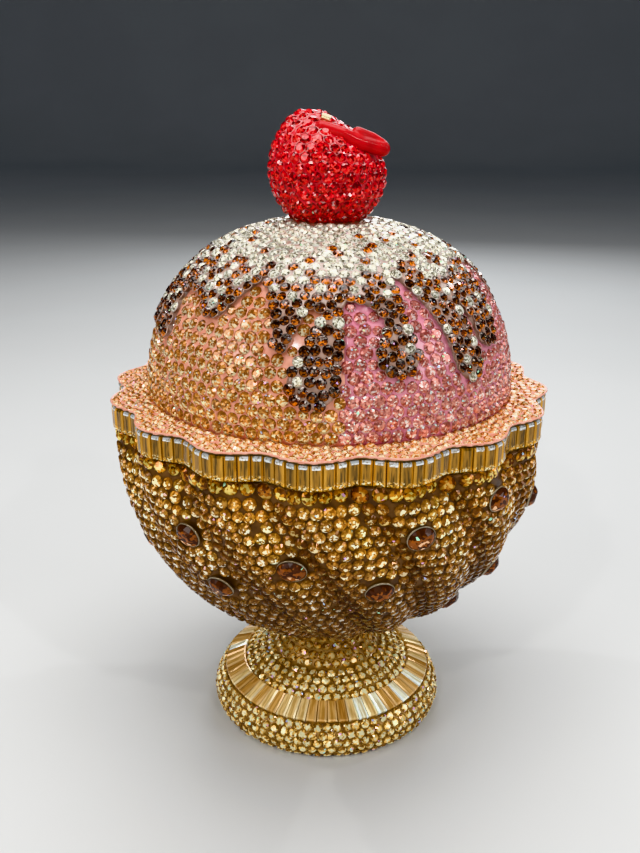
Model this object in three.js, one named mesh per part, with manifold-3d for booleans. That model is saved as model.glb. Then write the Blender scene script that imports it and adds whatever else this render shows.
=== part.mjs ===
// A closed, crystal-covered sundae ornament: a swirl-fluted bowl on a foot, a scalloped lip,
// two flavours of ice cream under a dripping topping, and a cherry with its stalk.
// Millimetres, +Z up. The origin is the middle of the foot, on the surface it stands on.
// An azimuth of 0 faces -Y, and azimuths grow towards +X.
import * as THREE from 'three';
import { mergeVertices } from 'three/addons/utils/BufferGeometryUtils.js';
import Module from 'manifold-3d';

const wasm = await Module();
wasm.setup();

// Driving dimensions.
const GAP = 0.3;
const LOBES = 16;
const FIRST_VALLEY = rad(-15.9);

const RIM_RADIUS = 54;
const SCALLOP_DEPTH = 3.3;
const SCALLOP_ROUNDNESS = 0.8;
const SEAM_HEIGHT = 90.1;
const LIP_THICKNESS = 0.9;

const BAGUETTE_LENGTH = 5.6;
const BAGUETTES_PER_LOBE = 8;
const BAGUETTE_GROOVE = 0.35;
const BAND_SETBACK = 0.7;

const BOWL_RADIUS = 53;
const BOWL_CENTRE = 78.7;
const BOWL_FLAT = 14;
const BOWL_BOTTOM = BOWL_CENTRE - Math.sqrt(BOWL_RADIUS ** 2 - BOWL_FLAT ** 2);
const FLUTE_DEPTH = 1.5;
const FLUTE_SWIRL = 0.6;

const GEM_LONG = 6.4;
const GEM_SHORT = 5.6;
const GEM_CROWN = 1.3;
const GEM_SINK = 1.4;
const GEM_RISE = 0.2;
const GEM_SIDES = 8;

const RING_INNER = { r: 22.6, z: 12.0 };
const RING_OUTER = { r: 28.1, z: 9.4 };
const RING_BAGUETTES = 64;
const RING_THICKNESS = 0.9;

// The foot's outline as [r, z], its rounded rim below the ring and its waist above it.
const FOOT_RIM = [[29.2, 0], [30.6, 1.0], [31.2, 3.2], [30.6, 6.2]];
const FOOT_WAIST = [[18.4, 14.6], [14.2, 16.0], [12.0, 19.0], [11.8, 22.0], [13.2, 25.6]];

const DOME_BASE = 89.6;
const DOME_RADIUS = 44.6;
const DOME_HEIGHT = 40.9;
const DOME_POWER = 2.35;
const FLAVOUR_LINE = rad(3.6);
const TOPPING_THICKNESS = 0.8;
const TOPPING_EDGE = 121.9;

const CHERRY_RADIUS = 14;
const CHERRY_CENTRE = new THREE.Vector3(-0.7, 0, 142.4);
const CHERRY_SHOULDER = { toward: [-0.33, 0.05, 0.94], rise: 1.25, spread: 0.45 };
const CHERRY_HOLLOW = { toward: [0.5, -0.2, 0.84], rise: -6, spread: 0.7 };
const STALK_RADIUS = 1.75;
const STALK_PATH = [[-2.3, -6.6, 151.4], [2.4, -6.8, 150], [6.6, -6.4, 148.2], [11.6, -5.6, 147.1]];
const FOLD_RADIUS = 1.6;
const FOLD_PATH = [[5.8, -5.2, 150.2], [9, -5, 149], [11.4, -4.9, 147.6]];
const PIN_SIZE = 1.8;
const PIN_LENGTH = 2.2;
const PIN_CENTRE = [-1.4, -4.2, 153.5];
const PIN_TILT = rad(20);

// Each drip of the topping runs down the dome through these places: azimuth in degrees,
// height, half width. The same eight run down the far side.
const DRIPS = [
  [[-71.7, 120.6, 5.4], [-67.1, 113.9, 3.1], [-64.1, 109.6, 2.8]],
  [[-57.1, 121, 4.8], [-46.8, 118.7, 2.8], [-42.4, 116.8, 3.7], [-33.8, 122.6, 3.6], [-47.5, 121.2, 2.6]],
  [[-13.2, 120.8, 6.9], [-14.2, 115.6, 2.8], [-15.4, 110.8, 1.9]],
  [[-0.8, 119.1, 4.6], [0, 116.7, 1.9], [-1.9, 111.2, 3.5], [-5.3, 103.4, 5.4]],
  [[-5, 121.8, 3.3], [16.5, 120.2, 4.3], [20.4, 115.1, 2], [19.5, 108.6, 4.8]],
  [[37.1, 123.9, 6.5], [41.3, 113.3, 3.6], [43.6, 105.5, 3.8], [44.3, 104.2, 3.3]],
  [[57.2, 120.7, 6.9], [57.6, 114.6, 5.2], [56.1, 110.2, 3.7]],
  [[100, 121.5, 5], [101, 115, 3.4], [101.5, 111, 3.2]],
];

// Azimuth and latitude of each large gem on the front half, repeated on the far side.
const GEM_PLACES = [
  [-65.3, -24.2], [-37, -11.4], [-30.6, -25.9], [-9.4, -16.3], [12.8, -22.9], [21.1, -7.4],
  [44.1, -3], [48.8, -42.3], [59.5, -30.9], [70.4, -12.1], [93, -27],
];

function rad(degrees) {
  return THREE.MathUtils.degToRad(degrees);
}

function place(azimuth, r, z) {
  return new THREE.Vector3(r * Math.sin(azimuth), -r * Math.cos(azimuth), z);
}

function finish(color, roughness, metalness) {
  return new THREE.MeshStandardMaterial({ color, roughness, metalness });
}

const finishes = {
  gold: finish(0xc9a55c, 0.25, 0.9),
  champagne: finish(0xd8bb86, 0.25, 0.8),
  amber: finish(0x9a6a22, 0.15, 0.6),
  topaz: finish(0x6b3413, 0.1, 0.4),
  peach: finish(0xe2a182, 0.3, 0.2),
  pink: finish(0xcf8195, 0.3, 0.2),
  sauce: finish(0x5a2a12, 0.2, 0.3),
  red: finish(0xb30d18, 0.2, 0.2),
  pale: finish(0xe9dfc0, 0.35, 0.7),
};

// A lathe turned about +Z from [r, z] points that run up the outside. bend() may move every
// vertex: it gets the azimuth, r, z and the number of the station round the axis.
function turned(profile, stations, bend) {
  const points = profile.map(([r, z]) => new THREE.Vector2(r, z));
  const geometry = new THREE.LatheGeometry(points, stations);
  geometry.rotateX(Math.PI / 2);
  if (!bend) {
    return geometry;
  }
  const position = geometry.attributes.position;
  for (let i = 0; i < position.count; i += 1) {
    const station = Math.floor(i / points.length) % stations;
    const { x: r, y: z } = points[i % points.length];
    const azimuth = (station / stations) * 2 * Math.PI;
    const moved = r > 0 ? place(...bend(azimuth, r, z, station)) : place(0, 0, z);
    position.setXYZ(i, moved.x, moved.y, moved.z);
  }
  return geometry;
}

function solid(geometry) {
  const bare = geometry.clone();
  bare.deleteAttribute('normal');
  bare.deleteAttribute('uv');
  const merged = mergeVertices(bare, 1e-4);
  return new wasm.Manifold(new wasm.Mesh({
    numProp: 3,
    vertProperties: new Float32Array(merged.attributes.position.array),
    triVerts: new Uint32Array(merged.index.array),
  }));
}

function geometryOf(manifold) {
  const { vertProperties, triVerts } = manifold.getMesh();
  const geometry = new THREE.BufferGeometry();
  geometry.setAttribute('position', new THREE.BufferAttribute(vertProperties, 3));
  geometry.setIndex(new THREE.BufferAttribute(triVerts, 1));
  return geometry;
}

function mesh(name, geometry, material) {
  const made = new THREE.Mesh(geometry, material);
  made.name = name;
  return made;
}

// How far out the scallops stand at an azimuth: 0 in a valley, 1 on a lobe's tip.
function scallop(azimuth) {
  const wave = (1 - Math.cos(LOBES * (azimuth - FIRST_VALLEY))) / 2;
  return wave ** SCALLOP_ROUNDNESS;
}

function scalloped(azimuth, r) {
  const share = r / RIM_RADIUS;
  return r - SCALLOP_DEPTH * (1 - scallop(azimuth)) * share ** 4;
}

// Foot: a base with a rounded rim, a shelf for its ring, a low dome and a waist under the bowl.
function foot() {
  const stations = 36;
  const shelf = GAP + RING_THICKNESS / 2;
  const top = BOWL_BOTTOM - GAP;
  const profile = [
    [0, 0], ...FOOT_RIM,
    [RING_OUTER.r + GAP, RING_OUTER.z - shelf], [RING_INNER.r, RING_INNER.z - shelf],
    [RING_INNER.r - GAP, RING_INNER.z], ...FOOT_WAIST, [BOWL_FLAT, top], [0, top],
  ];
  return mesh('foot', turned(profile, stations), finishes.champagne);
}

// The ring of radial baguettes that lies on the foot.
function footBaguetteRing() {
  const half = RING_THICKNESS / 2;
  const middle = (RING_INNER.r + RING_OUTER.r) / 2;
  const profile = [
    [RING_INNER.r + GAP, RING_INNER.z - half], [RING_OUTER.r, RING_OUTER.z - half],
    [RING_OUTER.r, RING_OUTER.z + half], [RING_INNER.r + GAP, RING_INNER.z + half],
    [RING_INNER.r + GAP, RING_INNER.z - half],
  ];
  const bend = (azimuth, r, z, station) => {
    const top = z > (r > middle ? RING_OUTER.z : RING_INNER.z);
    const groove = top && station % 2 === 0 ? BAGUETTE_GROOVE : 0;
    return [azimuth, r, z - groove];
  };
  return mesh('foot_baguette_ring', turned(profile, RING_BAGUETTES * 2, bend), finishes.champagne);
}

// Bowl: a ball's lower half with swirling flutes that start from the lip's scallops.
function fluteDepth(latitude) {
  const fade = THREE.MathUtils.smoothstep(-latitude, -10, 12);
  const end = 1 - THREE.MathUtils.smoothstep(-latitude, 48, 74);
  return (SCALLOP_DEPTH * (1 - fade) + FLUTE_DEPTH * fade) * end;
}

function bowlRadius(azimuth, latitude) {
  const untwisted = azimuth + FLUTE_SWIRL * rad(latitude);
  return BOWL_RADIUS - fluteDepth(latitude) * (1 - scallop(untwisted));
}

function bowlPoint(azimuth, latitude) {
  const radius = bowlRadius(azimuth, latitude);
  return place(azimuth, radius * Math.cos(rad(latitude)), BOWL_CENTRE + radius * Math.sin(rad(latitude)));
}

function bowlBody() {
  const rows = 12;
  const stations = LOBES * 5;
  const top = SEAM_HEIGHT - GAP - BAGUETTE_LENGTH - GAP;
  const lowest = -Math.acos(BOWL_FLAT / BOWL_RADIUS);
  const highest = Math.asin((top - BOWL_CENTRE) / BOWL_RADIUS);
  const profile = [[0, BOWL_BOTTOM]];
  for (let row = 0; row <= rows; row += 1) {
    const latitude = THREE.MathUtils.lerp(lowest, highest, row / rows);
    profile.push([BOWL_RADIUS * Math.cos(latitude), BOWL_CENTRE + BOWL_RADIUS * Math.sin(latitude)]);
  }
  profile.push([0, top]);
  const bend = (azimuth, r, z) => {
    const latitude = THREE.MathUtils.radToDeg(Math.atan2(z - BOWL_CENTRE, r));
    const swirled = azimuth - FLUTE_SWIRL * rad(latitude);
    const point = bowlPoint(swirled, latitude);
    return [swirled, Math.hypot(point.x, point.y), point.z];
  };
  return turned(profile, stations, bend);
}

function gemPlaces() {
  return [0, 180].flatMap((turn) => GEM_PLACES.map(([azimuth, latitude]) => {
    const centre = bowlPoint(rad(azimuth + turn), latitude);
    const outward = new THREE.Vector3(0, 0, BOWL_CENTRE).sub(centre).negate().normalize();
    return { centre, outward };
  }));
}

// Turns a shape made round +Z so that it faces outward at a place, its X axis level.
function facing(geometry, { centre, outward }) {
  const level = new THREE.Vector3(0, 0, 1).cross(outward).normalize();
  const up = new THREE.Vector3().crossVectors(outward, level);
  const seat = centre.clone().addScaledVector(outward, GEM_RISE);
  const matrix = new THREE.Matrix4().makeBasis(level, up, outward).setPosition(seat);
  return geometry.applyMatrix4(matrix);
}

// A gem has a girdle, a crown that rises to a flat table, and a pavilion cut short.
function gemShape() {
  const girdle = GEM_LONG / 2;
  const base = girdle * 0.9;
  const table = girdle * 0.62;
  const profile = [[0, -GEM_SINK], [base, -GEM_SINK], [girdle, 0], [table, GEM_CROWN], [0, GEM_CROWN]];
  return turned(profile, GEM_SIDES).scale(1, GEM_SHORT / GEM_LONG, 1);
}

// The pit that a gem sits in, open well above the bowl's surface.
function gemPit() {
  const wall = GEM_LONG / 2 + GAP;
  const floor = -GEM_SINK - GAP;
  const profile = [[0, floor], [wall, floor], [wall, -floor], [0, -floor]];
  return turned(profile, GEM_SIDES).scale(1, (GEM_SHORT / 2 + GAP) / wall, 1);
}

function bowlAndGems() {
  const meshes = [];
  let body = solid(bowlBody());
  gemPlaces().forEach((spot, index) => {
    body = body.subtract(solid(facing(gemPit(), spot)));
    const name = `bowl_gem_${String(index + 1).padStart(2, '0')}`;
    meshes.push(mesh(name, facing(gemShape(), spot), finishes.topaz));
  });
  return [mesh('bowl', geometryOf(body), finishes.gold), ...meshes];
}

// The band of upright baguettes that follows the scallops under the lip.
function baguetteBand() {
  const top = SEAM_HEIGHT - GAP;
  const bottom = top - BAGUETTE_LENGTH;
  const face = RIM_RADIUS - BAND_SETBACK;
  const perBaguette = 3;
  const stations = LOBES * BAGUETTES_PER_LOBE * perBaguette;
  const pitch = (2 * Math.PI) / (LOBES * BAGUETTES_PER_LOBE);
  const edge = pitch * 0.12;
  const bend = (azimuth, r, z, station) => {
    const column = Math.floor(station / perBaguette);
    const part = station % perBaguette;
    const turn = FIRST_VALLEY + column * pitch + [0, edge, pitch - edge][part];
    return [turn, scalloped(turn, r) - (part === 0 ? BAGUETTE_GROOVE : 0), z];
  };
  const profile = [[0, bottom], [face, bottom], [face, top], [0, top]];
  return mesh('baguette_band', turned(profile, stations, bend), finishes.amber);
}

// The flat scalloped lip.
function lip() {
  const round = 0.3;
  const top = SEAM_HEIGHT + LIP_THICKNESS;
  const profile = [
    [0, SEAM_HEIGHT], [RIM_RADIUS - round, SEAM_HEIGHT], [RIM_RADIUS, SEAM_HEIGHT + round],
    [RIM_RADIUS, top - round], [RIM_RADIUS - round, top], [0, top],
  ];
  const bend = (azimuth, r, z) => [azimuth, scalloped(azimuth, r), z];
  return mesh('lip', turned(profile, LOBES * 5, bend), finishes.peach);
}

// Dome: r and z of its surface, grown outwards by an offset, from a height over its base up.
function domeProfile(offset, rows, from) {
  const points = [];
  for (let row = 0; row <= rows; row += 1) {
    const slope = THREE.MathUtils.lerp(Math.asin(from / (DOME_HEIGHT + offset)), Math.PI / 2, row / rows);
    const z = Math.sin(slope);
    const r = (1 - z ** DOME_POWER) ** (1 / DOME_POWER);
    points.push([row < rows ? (DOME_RADIUS + offset) * r : 0, DOME_BASE + (DOME_HEIGHT + offset) * z]);
  }
  return points;
}

function domeBody(offset, rows, stations, from) {
  const profile = domeProfile(offset, rows, from);
  return turned([[0, profile[0][1]], ...profile], stations);
}

// The two flavours, each half of the dome.
function scoops() {
  const stations = 40;
  const bottom = SEAM_HEIGHT + LIP_THICKNESS + GAP;
  const dome = solid(domeBody(0, 8, stations, bottom - DOME_BASE));
  const side = RIM_RADIUS * 3;
  const half = (direction) => {
    const box = new THREE.BoxGeometry(side, side, side);
    box.translate((direction * (side + GAP)) / 2, 0, DOME_BASE).rotateZ(FLAVOUR_LINE);
    return geometryOf(dome.intersect(solid(box)));
  };
  return [
    mesh('ice_cream_peach', half(-1), finishes.peach),
    mesh('ice_cream_pink', half(1), finishes.pink),
  ];
}

// The dome's surface point at an azimuth and a height.
function domePoint(azimuth, height) {
  const z = (height - DOME_BASE) / DOME_HEIGHT;
  return place(azimuth, DOME_RADIUS * (1 - z ** DOME_POWER) ** (1 / DOME_POWER), height);
}

// Millimetres from a point to the topping's outline, negative inside it.
function toppingDistance(point, drips) {
  let nearest = TOPPING_EDGE - point.z;
  for (const drip of drips) {
    for (let i = 1; i < drip.length; i += 1) {
      const [a, b] = [drip[i - 1], drip[i]];
      const along = new THREE.Line3(a.at, b.at).closestPointToPointParameter(point, true);
      const centre = a.at.clone().lerp(b.at, along);
      const width = THREE.MathUtils.lerp(a.width, b.width, along);
      nearest = Math.min(nearest, point.distanceTo(centre) - width);
    }
  }
  return nearest;
}

// Topping: the dome's skin pushed out wherever the sauce lies, cut free of the dome below it.
function topping() {
  const [rows, stations] = [12, 84];
  const [lowest, steepness, sunken] = [6, 0.7, -1];
  const drips = [0, 180].flatMap((turn) => DRIPS.map((drip) => drip.map(([azimuth, height, width]) => (
    { at: domePoint(rad(azimuth + turn), height), width }
  ))));
  const geometry = domeBody(0, rows, stations, lowest);
  const position = geometry.attributes.position;
  const centre = new THREE.Vector3(0, 0, DOME_BASE);
  for (let i = 0; i < position.count; i += 1) {
    const point = new THREE.Vector3().fromBufferAttribute(position, i);
    const depth = -toppingDistance(point, drips);
    const relief = THREE.MathUtils.clamp(GAP + depth * steepness, sunken, GAP + TOPPING_THICKNESS);
    point.addScaledVector(point.clone().sub(centre).normalize(), relief);
    position.setXYZ(i, point.x, point.y, point.z);
  }
  const skin = solid(geometry).subtract(solid(domeBody(GAP, 8, 40, 0)));
  const crumb = 2; // cubic millimetres
  const parts = skin.decompose().filter((part) => part.volume() > crumb);
  return mesh('topping', geometryOf(wasm.Manifold.compose(parts)), finishes.sauce);
}

// Cherry: a ball with a raised shoulder and the hollow that its stalk grows from.
function cherryRadius(way) {
  let radius = CHERRY_RADIUS;
  for (const { toward, rise, spread } of [CHERRY_SHOULDER, CHERRY_HOLLOW]) {
    const away = way.angleTo(new THREE.Vector3(...toward)) / spread;
    radius += rise * Math.exp(-(away ** 2));
  }
  return radius;
}

function cherry() {
  const geometry = new THREE.IcosahedronGeometry(1, 5);
  const position = geometry.attributes.position;
  for (let i = 0; i < position.count; i += 1) {
    const way = new THREE.Vector3().fromBufferAttribute(position, i).normalize();
    const point = way.clone().multiplyScalar(cherryRadius(way)).add(CHERRY_CENTRE);
    position.setXYZ(i, point.x, point.y, point.z);
  }
  const seat = solid(domeBody(GAP * 2 + TOPPING_THICKNESS, 16, 24, 0));
  const body = solid(geometry).subtract(seat).subtract(stalkBody(GAP)).subtract(solid(pinShape(GAP)));
  return mesh('cherry', geometryOf(body), finishes.red);
}

// A round rod along points, with ball ends.
function rod(points, radius) {
  const path = new THREE.CatmullRomCurve3(points.map((point) => new THREE.Vector3(...point)));
  const circle = new THREE.Shape();
  circle.absarc(0, 0, radius, 0, 2 * Math.PI);
  const options = { steps: 4, curveSegments: 4, extrudePath: path, bevelEnabled: false };
  let body = solid(new THREE.ExtrudeGeometry(circle, options));
  for (const end of [points[0], points[points.length - 1]]) {
    body = body.add(solid(new THREE.SphereGeometry(radius, 8, 5).translate(...end)));
  }
  return body;
}

// Stalk: a short thick rod that lies in the hollow and over its edge, its end folded back.
function stalkBody(grow) {
  return rod(STALK_PATH, STALK_RADIUS + grow).add(rod(FOLD_PATH, FOLD_RADIUS + grow));
}

// Pin: the stub of metal over the stalk's root.
function pinShape(grow) {
  const radius = PIN_SIZE / 2 + grow;
  const cylinder = new THREE.CylinderGeometry(radius, radius, PIN_LENGTH + 2 * grow, 8);
  return cylinder.rotateZ(Math.PI / 2).rotateY(PIN_TILT).translate(...PIN_CENTRE);
}

const sundae = new THREE.Group();
sundae.add(foot(), footBaguetteRing(), ...bowlAndGems(), baguetteBand(), lip(), ...scoops());
sundae.add(topping(), cherry());
sundae.add(mesh('cherry_stalk', geometryOf(stalkBody(0)), finishes.red));
sundae.add(mesh('stalk_pin', pinShape(0), finishes.pale));

export default sundae;
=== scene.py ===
# %% [markdown]
# A crystal-covered sundae ornament: a footed bowl, two flavours of ice cream under a dripping
# topping, and a cherry. Every surface is set with small cut stones, so most of this lesson is
# about making one good stone, placing thousands of them, and giving each its own sparkle.
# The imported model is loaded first, because all pieces go where its parts are.

# %% Load the frame
import math
import bpy
import bmesh
import numpy as np
from mathutils import Matrix, Vector
from mathutils.kdtree import KDTree


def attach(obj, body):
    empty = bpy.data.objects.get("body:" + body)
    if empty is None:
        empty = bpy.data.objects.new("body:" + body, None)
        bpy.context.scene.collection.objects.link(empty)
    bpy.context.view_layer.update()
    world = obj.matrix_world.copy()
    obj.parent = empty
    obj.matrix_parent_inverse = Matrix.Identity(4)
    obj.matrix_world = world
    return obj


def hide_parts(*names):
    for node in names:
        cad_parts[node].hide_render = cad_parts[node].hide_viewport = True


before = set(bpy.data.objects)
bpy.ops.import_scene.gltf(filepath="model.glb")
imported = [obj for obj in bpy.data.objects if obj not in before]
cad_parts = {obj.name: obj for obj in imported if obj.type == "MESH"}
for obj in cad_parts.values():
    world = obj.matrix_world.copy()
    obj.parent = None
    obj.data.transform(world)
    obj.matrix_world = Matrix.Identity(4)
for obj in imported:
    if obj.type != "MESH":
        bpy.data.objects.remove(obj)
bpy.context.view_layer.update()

# %% [markdown]
# The camera stands a little above the lip and looks down by 20 degrees, as one looks at an
# ornament on a table. Its lens is given by the picture's own measures.

# %% Camera
MM = 0.001
PITCH, ROLL = math.radians(20.0), -0.006
SENSOR = 36.0
FOCAL_PIXELS, PICTURE_PIXELS = 900, 853  # focal length and height of a picture, in its own pixels
camera = bpy.data.objects.new("camera", bpy.data.cameras.new("camera"))
bpy.context.scene.collection.objects.link(camera)
camera.data.sensor_width = SENSOR
camera.data.lens = FOCAL_PIXELS * SENSOR / PICTURE_PIXELS
camera.data.clip_start, camera.data.clip_end = 0.01, 20
camera.location = (-2.7 * MM, -216.4 * MM, 157.5 * MM)
camera.rotation_euler = (math.pi / 2 - PITCH, ROLL, 0)
bpy.context.scene.camera = camera
bpy.context.scene.view_settings.view_transform = "Khronos PBR Neutral"
print("camera lens in mm:", round(camera.data.lens, 1))

# %% [markdown]
# The stage is a pale floor that curves up into a wall, so that no horizon cuts through the
# picture. A flat grid is enough to start with, because its back edge can be drawn out in short
# steps, each turned a little further up than the last.

# %% Floor
FLOOR_HALF, CURVE_STEPS, CURVE_STEP, WALL = 2.0, 12, 0.1, 3.0  # metres


def linked(name, mesh):
    piece = bpy.data.objects.new(name, mesh)
    bpy.context.scene.collection.objects.link(piece)
    return piece


def only(kind, made):
    """The vertices or the edges among all that an operator made."""
    return [part for part in made if isinstance(part, kind)]


def stage_floor():
    """A sheet whose back edge is drawn out step by step, round and then straight up."""
    form = bmesh.new()
    bmesh.ops.create_grid(form, x_segments=1, y_segments=1, size=FLOOR_HALF)
    back = [edge for edge in form.edges if all(v.co.y > 0.95 * FLOOR_HALF for v in edge.verts)]
    angle = math.radians(90 / CURVE_STEPS)
    for step in range(CURVE_STEPS):
        made = bmesh.ops.extrude_edge_only(form, edges=back)["geom"]
        heading = angle * (step + 0.5)
        move = Vector((0, math.cos(heading), math.sin(heading))) * CURVE_STEP
        bmesh.ops.translate(form, vec=move, verts=only(bmesh.types.BMVert, made))
        back = only(bmesh.types.BMEdge, made)
    made = bmesh.ops.extrude_edge_only(form, edges=back)["geom"]
    bmesh.ops.translate(form, vec=(0, 0, WALL), verts=only(bmesh.types.BMVert, made))
    mesh = bpy.data.meshes.new("floor")
    bmesh.ops.recalc_face_normals(form, faces=form.faces)
    form.to_mesh(mesh)
    form.free()
    mesh.shade_smooth()
    return linked("floor", mesh)


floor = stage_floor()
print("floor faces:", len(floor.data.polygons))

# %% [markdown]
# Soft light comes from large area lamps: one overhead, one at each side, one behind and a weak
# one low in front. On their own they would make cut stones look like plastic beads, so a few
# very small lamps add the pinpoint glints that make the facets look alive.

# %% Lights
AIM = (0, 0, 0.08)  # all lamps look at the middle of the ornament


def area_light(name, place, size, power, color=(1, 1, 1)):
    lamp = bpy.data.lights.new(name, "AREA")
    lamp.shape = "SQUARE"
    lamp.size = size
    lamp.energy = power
    lamp.color = color
    holder = linked(name, lamp)
    holder.location = place
    aim = Vector(AIM) - Vector(place)
    holder.rotation_euler = aim.to_track_quat("-Z", "Y").to_euler()


area_light("softbox_top", (0.0, 0.02, 0.62), 0.46, 3.2)
area_light("softbox_left", (-0.62, -0.35, 0.42), 0.35, 2.0, (1.0, 0.98, 0.95))
area_light("softbox_right", (0.62, -0.25, 0.36), 0.30, 1.4)
area_light("softbox_back", (0.1, 0.70, 0.40), 0.35, 1.6, (0.92, 0.96, 1.0))
area_light("softbox_low", (0.0, -0.62, 0.14), 0.32, 0.35, (1.0, 0.93, 0.80))
for number, (x, y, z, power) in enumerate([
    (-0.25, -0.55, 0.55, 0.7), (0.35, -0.50, 0.60, 0.7), (0.05, -0.65, 0.35, 0.4),
    (-0.50, 0.30, 0.55, 0.6), (0.50, 0.35, 0.50, 0.6),
]):
    area_light(f"spark_{number}", (x, y, z), 0.02, power)

world = bpy.data.worlds.new("studio")
world.use_nodes = True
world.node_tree.nodes["Background"].inputs["Color"].default_value = (0.80, 0.88, 1.0, 1)
world.node_tree.nodes["Background"].inputs["Strength"].default_value = 0.12
bpy.context.scene.world = world

# %% [markdown]
# The sizes below are the model's own, in millimetres. The scallops of the lip and the swirling
# flutes of the bowl come from the same wave, so a stone can be set on any of these surfaces by
# its azimuth and its height. An azimuth of 0 faces the front and grows to the right.

# %% Sizes and surfaces
LOBES, FIRST_VALLEY = 16, math.radians(-15.9)
RIM, SCALLOP, ROUNDNESS, SEAM = 54.0, 3.3, 0.8, 90.1
LIP_THICKNESS, GAP = 0.9, 0.3
BAND_TOP, BAND_BOTTOM, BAND_FACE = SEAM - GAP, SEAM - GAP - 5.6, RIM - 0.7
BOWL, BOWL_CENTRE, BOWL_FLAT, FLUTE, SWIRL = 53.0, 78.7, 14.0, 1.5, 0.60
DOME_BASE, DOME, DOME_HEIGHT, DOME_POWER = 89.6, 44.6, 40.9, 2.35
FLAVOUR_LINE = math.radians(3.6)
TOPPING, TOPPING_EDGE = 1.1, 121.9
CHERRY, CHERRY_CENTRE = 13.95, np.array([-0.7, 0.0, 142.4])
CHERRY_SWELLS = (((-0.33, 0.05, 0.94), 1.25, 0.45), ((0.5, -0.2, 0.84), -6.0, 0.7))
SUNK = 0.45  # how far the enamel lies under the stones' tables
RING_INNER, RING_OUTER = (22.6, 12.0), (28.1, 9.4)
FOOT_OUTLINE = [(29.2, 0), (30.6, 1.0), (31.2, 3.2), (30.6, 6.2), (28.8, 8.9)]
WAIST_OUTLINE = [(22.2, 12.0), (18.4, 14.6), (14.2, 16.0), (12.0, 19.0), (11.8, 22.0), (13.2, 25.6)]


def place(azimuth, r, z):
    return np.stack(np.broadcast_arrays(r * np.sin(azimuth), -r * np.cos(azimuth), z), axis=-1)


def scallop(azimuth):
    return ((1 - np.cos(LOBES * (azimuth - FIRST_VALLEY))) / 2) ** ROUNDNESS


def scalloped(azimuth, r):
    return r - SCALLOP * (1 - scallop(azimuth)) * (r / RIM) ** 4


def smoothstep(value, low, high):
    share = np.clip((value - low) / (high - low), 0, 1)
    return share * share * (3 - 2 * share)


def bowl_point(azimuth, latitude, offset=0.0):
    fade = smoothstep(-latitude, -10, 12)
    depth = (SCALLOP * (1 - fade) + FLUTE * fade) * (1 - smoothstep(-latitude, 48, 74))
    tilt = np.radians(latitude)
    radius = BOWL - depth * (1 - scallop(azimuth + SWIRL * tilt)) + offset
    return place(azimuth, radius * np.cos(tilt), BOWL_CENTRE + radius * np.sin(tilt))


def dome_point(azimuth, slope, offset=0.0):
    z = np.sin(slope)
    r = np.maximum(1 - z ** DOME_POWER, 0) ** (1 / DOME_POWER)
    return place(azimuth, (DOME + offset) * r, DOME_BASE + (DOME_HEIGHT + offset) * z)


def cherry_way(azimuth, latitude):
    return place(azimuth, np.cos(latitude), np.sin(latitude))


def cherry_point(azimuth, latitude, offset=0.0):
    way = cherry_way(azimuth, latitude)
    radius = CHERRY + offset
    for toward, rise, spread in CHERRY_SWELLS:
        toward = np.array(toward) / np.linalg.norm(toward)
        away = np.arccos(np.clip(way @ toward, -1, 1)) / spread
        radius = radius + rise * np.exp(-away ** 2)
    return CHERRY_CENTRE + way * np.asarray(radius)[..., None]


print("lip tip to tip:", 2 * RIM, "mm")

# %% [markdown]
# The topping is a sheet of sauce with eight drips down the front and the same eight down the
# back. Its outline is known by distance: how far a point on the dome lies from the nearest
# drip or from the sheet's edge, negative inside.

# %% Topping outline
# Each drip runs through discs that are given by azimuth in degrees, height and radius.
DRIPS = [
    [(-71.7, 120.6, 5.4), (-67.1, 113.9, 3.1), (-64.1, 109.6, 2.8)],
    [(-57.1, 121.0, 4.8), (-46.8, 118.7, 2.8), (-42.4, 116.8, 3.7), (-33.8, 122.6, 3.6),
     (-47.5, 121.2, 2.6)],
    [(-13.2, 120.8, 6.9), (-14.2, 115.6, 2.8), (-15.4, 110.8, 1.9)],
    [(-0.8, 119.1, 4.6), (0, 116.7, 1.9), (-1.9, 111.2, 3.5), (-5.3, 103.4, 5.4)],
    [(-5, 121.8, 3.3), (16.5, 120.2, 4.3), (20.4, 115.1, 2.0), (19.5, 108.6, 4.8)],
    [(37.1, 123.9, 6.5), (41.3, 113.3, 3.6), (43.6, 105.5, 3.8), (44.3, 104.2, 3.3)],
    [(57.2, 120.7, 6.9), (57.6, 114.6, 5.2), (56.1, 110.2, 3.7)],
    [(100, 121.5, 5.0), (101, 115.0, 3.4), (101.5, 111.0, 3.2)],
]


def topping_distance(points):
    nearest = TOPPING_EDGE - points[..., 2]
    for turn in (0, 180):
        for drip in DRIPS:
            spots = []
            for azimuth, height, width in drip:
                slope = math.asin((height - DOME_BASE) / DOME_HEIGHT)
                spots.append((dome_point(math.radians(azimuth + turn), slope), width))
            for (a, width_a), (b, width_b) in zip(spots, spots[1:]):
                along = np.clip(((points - a) @ (b - a)) / ((b - a) @ (b - a)), 0, 1)
                centre = a + along[..., None] * (b - a)
                width = width_a + (width_b - width_a) * along
                nearest = np.minimum(nearest, np.linalg.norm(points - centre, axis=-1) - width)
    return nearest


print("drips:", 2 * len(DRIPS))

# %% [markdown]
# One stone is a real cut shape: a flat eight-sided table, a crown of slanting facets down to
# the girdle, and a pavilion that runs to a point inside the setting. Two rings of different
# counts are bridged, which is how the triangular crown facets come about. Its setting is a
# thin ring of three bands. Both are made once with bmesh operators and then stamped.

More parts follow.
